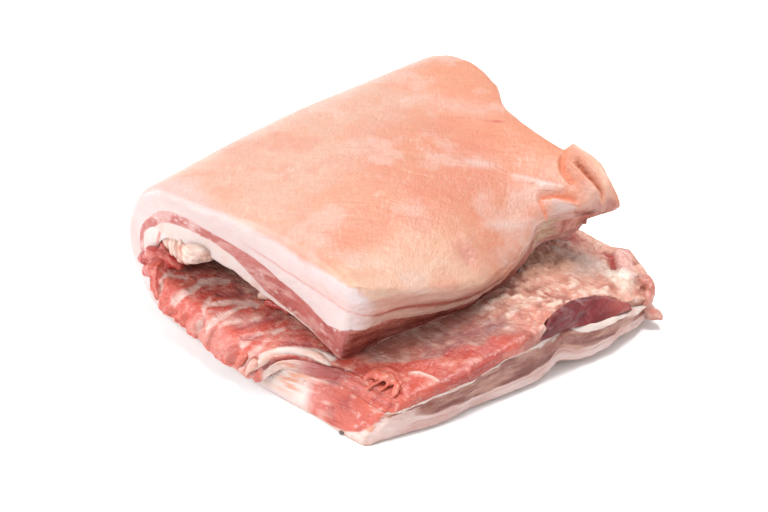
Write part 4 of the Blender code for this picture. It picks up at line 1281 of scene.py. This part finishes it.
def flank_fat():
    """The membrane-covered fat on the far part of the lower half."""
    share = steps(0, 1, 0.0060, 0.02, 0.03)
    ts = steps(FLANK_T[0], 1, 0.0038, 0.02, 0.02)
    k, t = np.meshgrid(share, ts)
    u = FLANK_U[0] + k * (flank_edge(t.ravel()).reshape(t.shape) - FLANK_U[0])
    jag = jagged(u)
    t = t + (jag - 0.003) * (1 - (t - FLANK_T[0]) / (1 - FLANK_T[0]))
    body = Piece(u, t, moved(LOWER_SEAM_AT, 0.0001), moved(INNER_AT, -0.0003), np.linspace(0, 1, 12),
        fine_rind=False)
    u, t, w = body.u, body.t, body.w
    flat = place(u, t, body.d)
    p, _, s_far, _ = shape_cuts(flat, u, t, body.d, 0.0)
    xy, x = flat[:, :2], flat[:, 0] * 1000
    h, c = membrane(flat)
    slit = ridge(xy, [(82, 109), (88, 105), (97, 99), (104, 95)], 2.0, 0.1)
    lobe = ridge(xy, [(89, 110), (100, 105), (112, 98), (123, 93)], 5.0, 0.08)
    cream_lumps = blob(xy, 118, 92, 9, 6) + blob(xy, 106, 90, 7, 5)
    h += -3.2 * slit + 4.0 * lobe + 1.8 * cream_lumps
    p[:, 2] += h / 1000 * ramp(w, 0.2, 1.0) * (1 - 0.3 * fade(s_far, 0.003))
    p[:, 1] += (from_mm(x, (45, 55, 62, 68, 76, 81, 88, 93, 105, 119, 127, 133),
            (0, 2, 4, 6, 7, 9, 15, 18, 17, 14, 8, 0)) * fade(s_far, 0.020))
    c = mix(c, rgb(232, 200, 188), 0.7 * ramp(blob(xy, 78, 82, 22, 18) + 0.25 * fbm(flat, 0.012, 3, 115),
            0.35, 0.6))
    c = mix(c, SILVER, 0.85 * ramp(blob(xy, 84, 86, 16, 12) + 0.3 * fbm(flat, 0.010, 3, 116), 0.45, 0.7))
    c = mix(c, rgb(234, 170, 138), 0.75 * ramp(blob(xy, 70, 66, 18, 34)
            + 0.35 * fbm(flat * (1, 0.5, 1), 0.009, 3, 117), 0.4, 0.7))
    # Painted light: the part under the upper half's far edge is brightened and warmed against the shade
    # that falls there.
    c = mix(c, rgb(255, 196, 168), 0.55 * blob(xy, 72, 68, 22, 30))
    c = mix(c, rgb(246, 190, 182), 0.9 * ramp(lobe, 0.25, 0.6))
    c = mix(c, rgb(240, 172, 152), 0.7 * blob(xy, 82, 105, 9, 8))
    c = mix(c, rgb(186, 46, 38), 0.95 * ramp(slit, 0.35, 0.8))
    c = mix(c, rgb(255, 238, 222), 0.9 * cream_lumps)
    c = mix(c, rgb(176, 46, 36), 0.9 * blob(xy, 58, 106, 9, 7))
    rim = melt([
        strand([(110, 112, 18), (118, 113, 20), (125, 112, 21), (131, 107, 20), (134, 100, 17),
                (134, 93, 13)], [(8, 5), (6, 6), (5, 6), (4.4, 6), (4.4, 5.5), (6, 5)], 212, 0.3),
        strand([(116, 92, 11), (126, 95, 11), (135, 99, 10.5), (143, 100, 9), (149, 100, 7.5)],
            [(9, 6), (9, 5), (7, 4), (5, 3), (2.4, 1.6)], 213, 0.3),
    ])
    at = rim[0] * 1000
    shade = mix(rgb(246, 196, 180), rgb(226, 140, 122), 0.35 + 1.3 * fbm(rim[0] * (1, 1, 2), 0.007, 4, 214))
    shade = mix(shade, rgb(222, 124, 106),
        0.6 * ramp(at[:, 0] + at[:, 2], 146, 152) * ramp(at[:, 2], 16, 20))
    # The flank's colours are brightened throughout: partly its own paler colour, partly painted light for
    # the shade the upper half casts on it.
    c = np.clip(c * 1.16, 0, ALBEDO * 1.25)
    body.add(rim, shade, 0)
    body.build("flank_fat_look", "flank_fat", p, c, 0.1, [MEMBRANE])


def flank_muscle():
    """The dark strip of muscle along the flank fat's free edge."""
    k, t = np.meshgrid(np.linspace(0, 1, 30), np.linspace(*MUSCLE_SPAN, 120))
    along = (t - MUSCLE_SPAN[0]) / (MUSCLE_SPAN[1] - MUSCLE_SPAN[0])
    width = rail(MUSCLE_REACH_U, along.ravel()).reshape(t.shape)
    u = flank_edge(t.ravel()).reshape(t.shape) + k * width

    def share(u, t):
        a = np.clip((t - MUSCLE_SPAN[0]) / (MUSCLE_SPAN[1] - MUSCLE_SPAN[0]), 0, 1)
        return np.clip((u - flank_edge(t)) / rail(MUSCLE_REACH_U, a), 0, 1), a

    def top(u, t):
        k, a = share(u, t)
        crown = np.interp(k, (0, 0.25, 0.6, 0.85, 1), (0.85, 1.0, 0.9, 0.6, 0.3))
        return depth(SEAM, u, t) + rail(MUSCLE_THICKNESS, a) * crown

    body = Piece(u, t, moved(LOWER_SEAM_AT, 0.0003), top, np.linspace(0, 1, 8), fine_rind=False)
    u, t, w = body.u, body.t, body.w
    flat = place(u, t, body.d)
    p, _, _, _ = shape_cuts(flat, u, t, body.d, 0.0)
    fibres = fbm(flat * (1.2, 0.22, 1), 0.005, 3, 120)
    p[:, 2] += (0.9 * fibres + 0.8 * fbm(flat, 0.012, 2, 121)) / 1000 * w
    c = mix(PURPLE, rgb(154, 38, 42), 0.40 + 1.1 * fibres)
    c = mix(c, rgb(206, 96, 84), 0.6 * ramp(flat[:, 1] * 1000, 48, 70))
    c = mix(c, rgb(214, 164, 160), 0.5 * ramp(fbm(flat, 0.010, 3, 122), 0.2, 0.5))
    body.build("flank_muscle_look", "flank_muscle", p, c, 0, [MUSCLE])


outer_fat()
main_lean()
seam_fat()
rib_lean()
flank_fat()
flank_muscle()


# ---------------------------------------------------------------- floor, light, camera
FLOOR_HALF, FLOOR_Z = 6, -0.0002
corners = [(x * FLOOR_HALF, y * FLOOR_HALF, FLOOR_Z) for x, y in ((-1, -1), (1, -1), (1, 1), (-1, 1))]
floor_mesh = bpy.data.meshes.new("floor")
floor_mesh.from_pydata(corners, [], [(0, 1, 2, 3)])
floor = bpy.data.objects.new("floor", floor_mesh)
bpy.context.scene.collection.objects.link(floor)
paper = bpy.data.materials.new("paper")
paper.use_nodes = True
paper_inputs = paper.node_tree.nodes["Principled BSDF"].inputs
paper_inputs["Base Color"].default_value = (0.93, 0.93, 0.93, 1)
paper_inputs["Roughness"].default_value = 0.9
paper_inputs["Specular IOR Level"].default_value = 0.0
floor_mesh.materials.append(paper)
floor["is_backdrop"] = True

SLAB_MIDDLE = (0, 0, 0.05)


def area_light(name, position, size, power, colour=(1, 1, 1)):
    """A round soft light that looks at the middle of the slab."""
    data = bpy.data.lights.new(name, "AREA")
    data.shape, data.size, data.energy, data.color = "DISK", size, power, colour
    made = bpy.data.objects.new(name, data)
    made.location = position
    made.rotation_euler = (Vector(SLAB_MIDDLE) - Vector(position)).to_track_quat("-Z", "Y").to_euler()
    bpy.context.scene.collection.objects.link(made)


area_light("overhead", (-0.10, 0.45, 2.2), 1.2, 60, (1.0, 0.99, 0.98))
area_light("front", (-0.55, -2.1, 1.15), 1.4, 44)
area_light("left", (-2.0, -1.0, 0.55), 1.4, 22)
area_light("right", (2.2, 0.5, 0.8), 1.4, 11)

world = bpy.data.worlds.new("sky")
world.use_nodes = True
sky = world.node_tree.nodes["Background"].inputs
sky["Color"].default_value = (0.98, 0.98, 1.0, 1)
sky["Strength"].default_value = 0.75
bpy.context.scene.world = world
bpy.context.scene.view_settings.view_transform = "Standard"

CAMERA_TURN, CAMERA_RISE, CAMERA_DISTANCE = math.radians(45), math.radians(32), 1.3
LENS_MM, SENSOR_MM = 89.0625, 36.0
camera = bpy.data.cameras.new("camera")
camera.sensor_width, camera.lens = SENSOR_MM, LENS_MM
camera.clip_end = 50
view = bpy.data.objects.new("camera", camera)
aim = Vector((SHIFT_X, SHIFT_Y, SLAB_MIDDLE[2]))
level = math.cos(CAMERA_RISE)
away = Vector((math.sin(CAMERA_TURN) * level, -math.cos(CAMERA_TURN) * level, math.sin(CAMERA_RISE)))
view.location = aim + CAMERA_DISTANCE * away
view.rotation_euler = (aim - view.location).to_track_quat("-Z", "Y").to_euler()
bpy.context.scene.collection.objects.link(view)
bpy.context.scene.camera = view


def plain(box):
    """A box's corners as plain numbers."""
    return [[float(c) for c in corner] for corner in box]


{"cad": plain(cad_box), "visual": plain(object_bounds())}
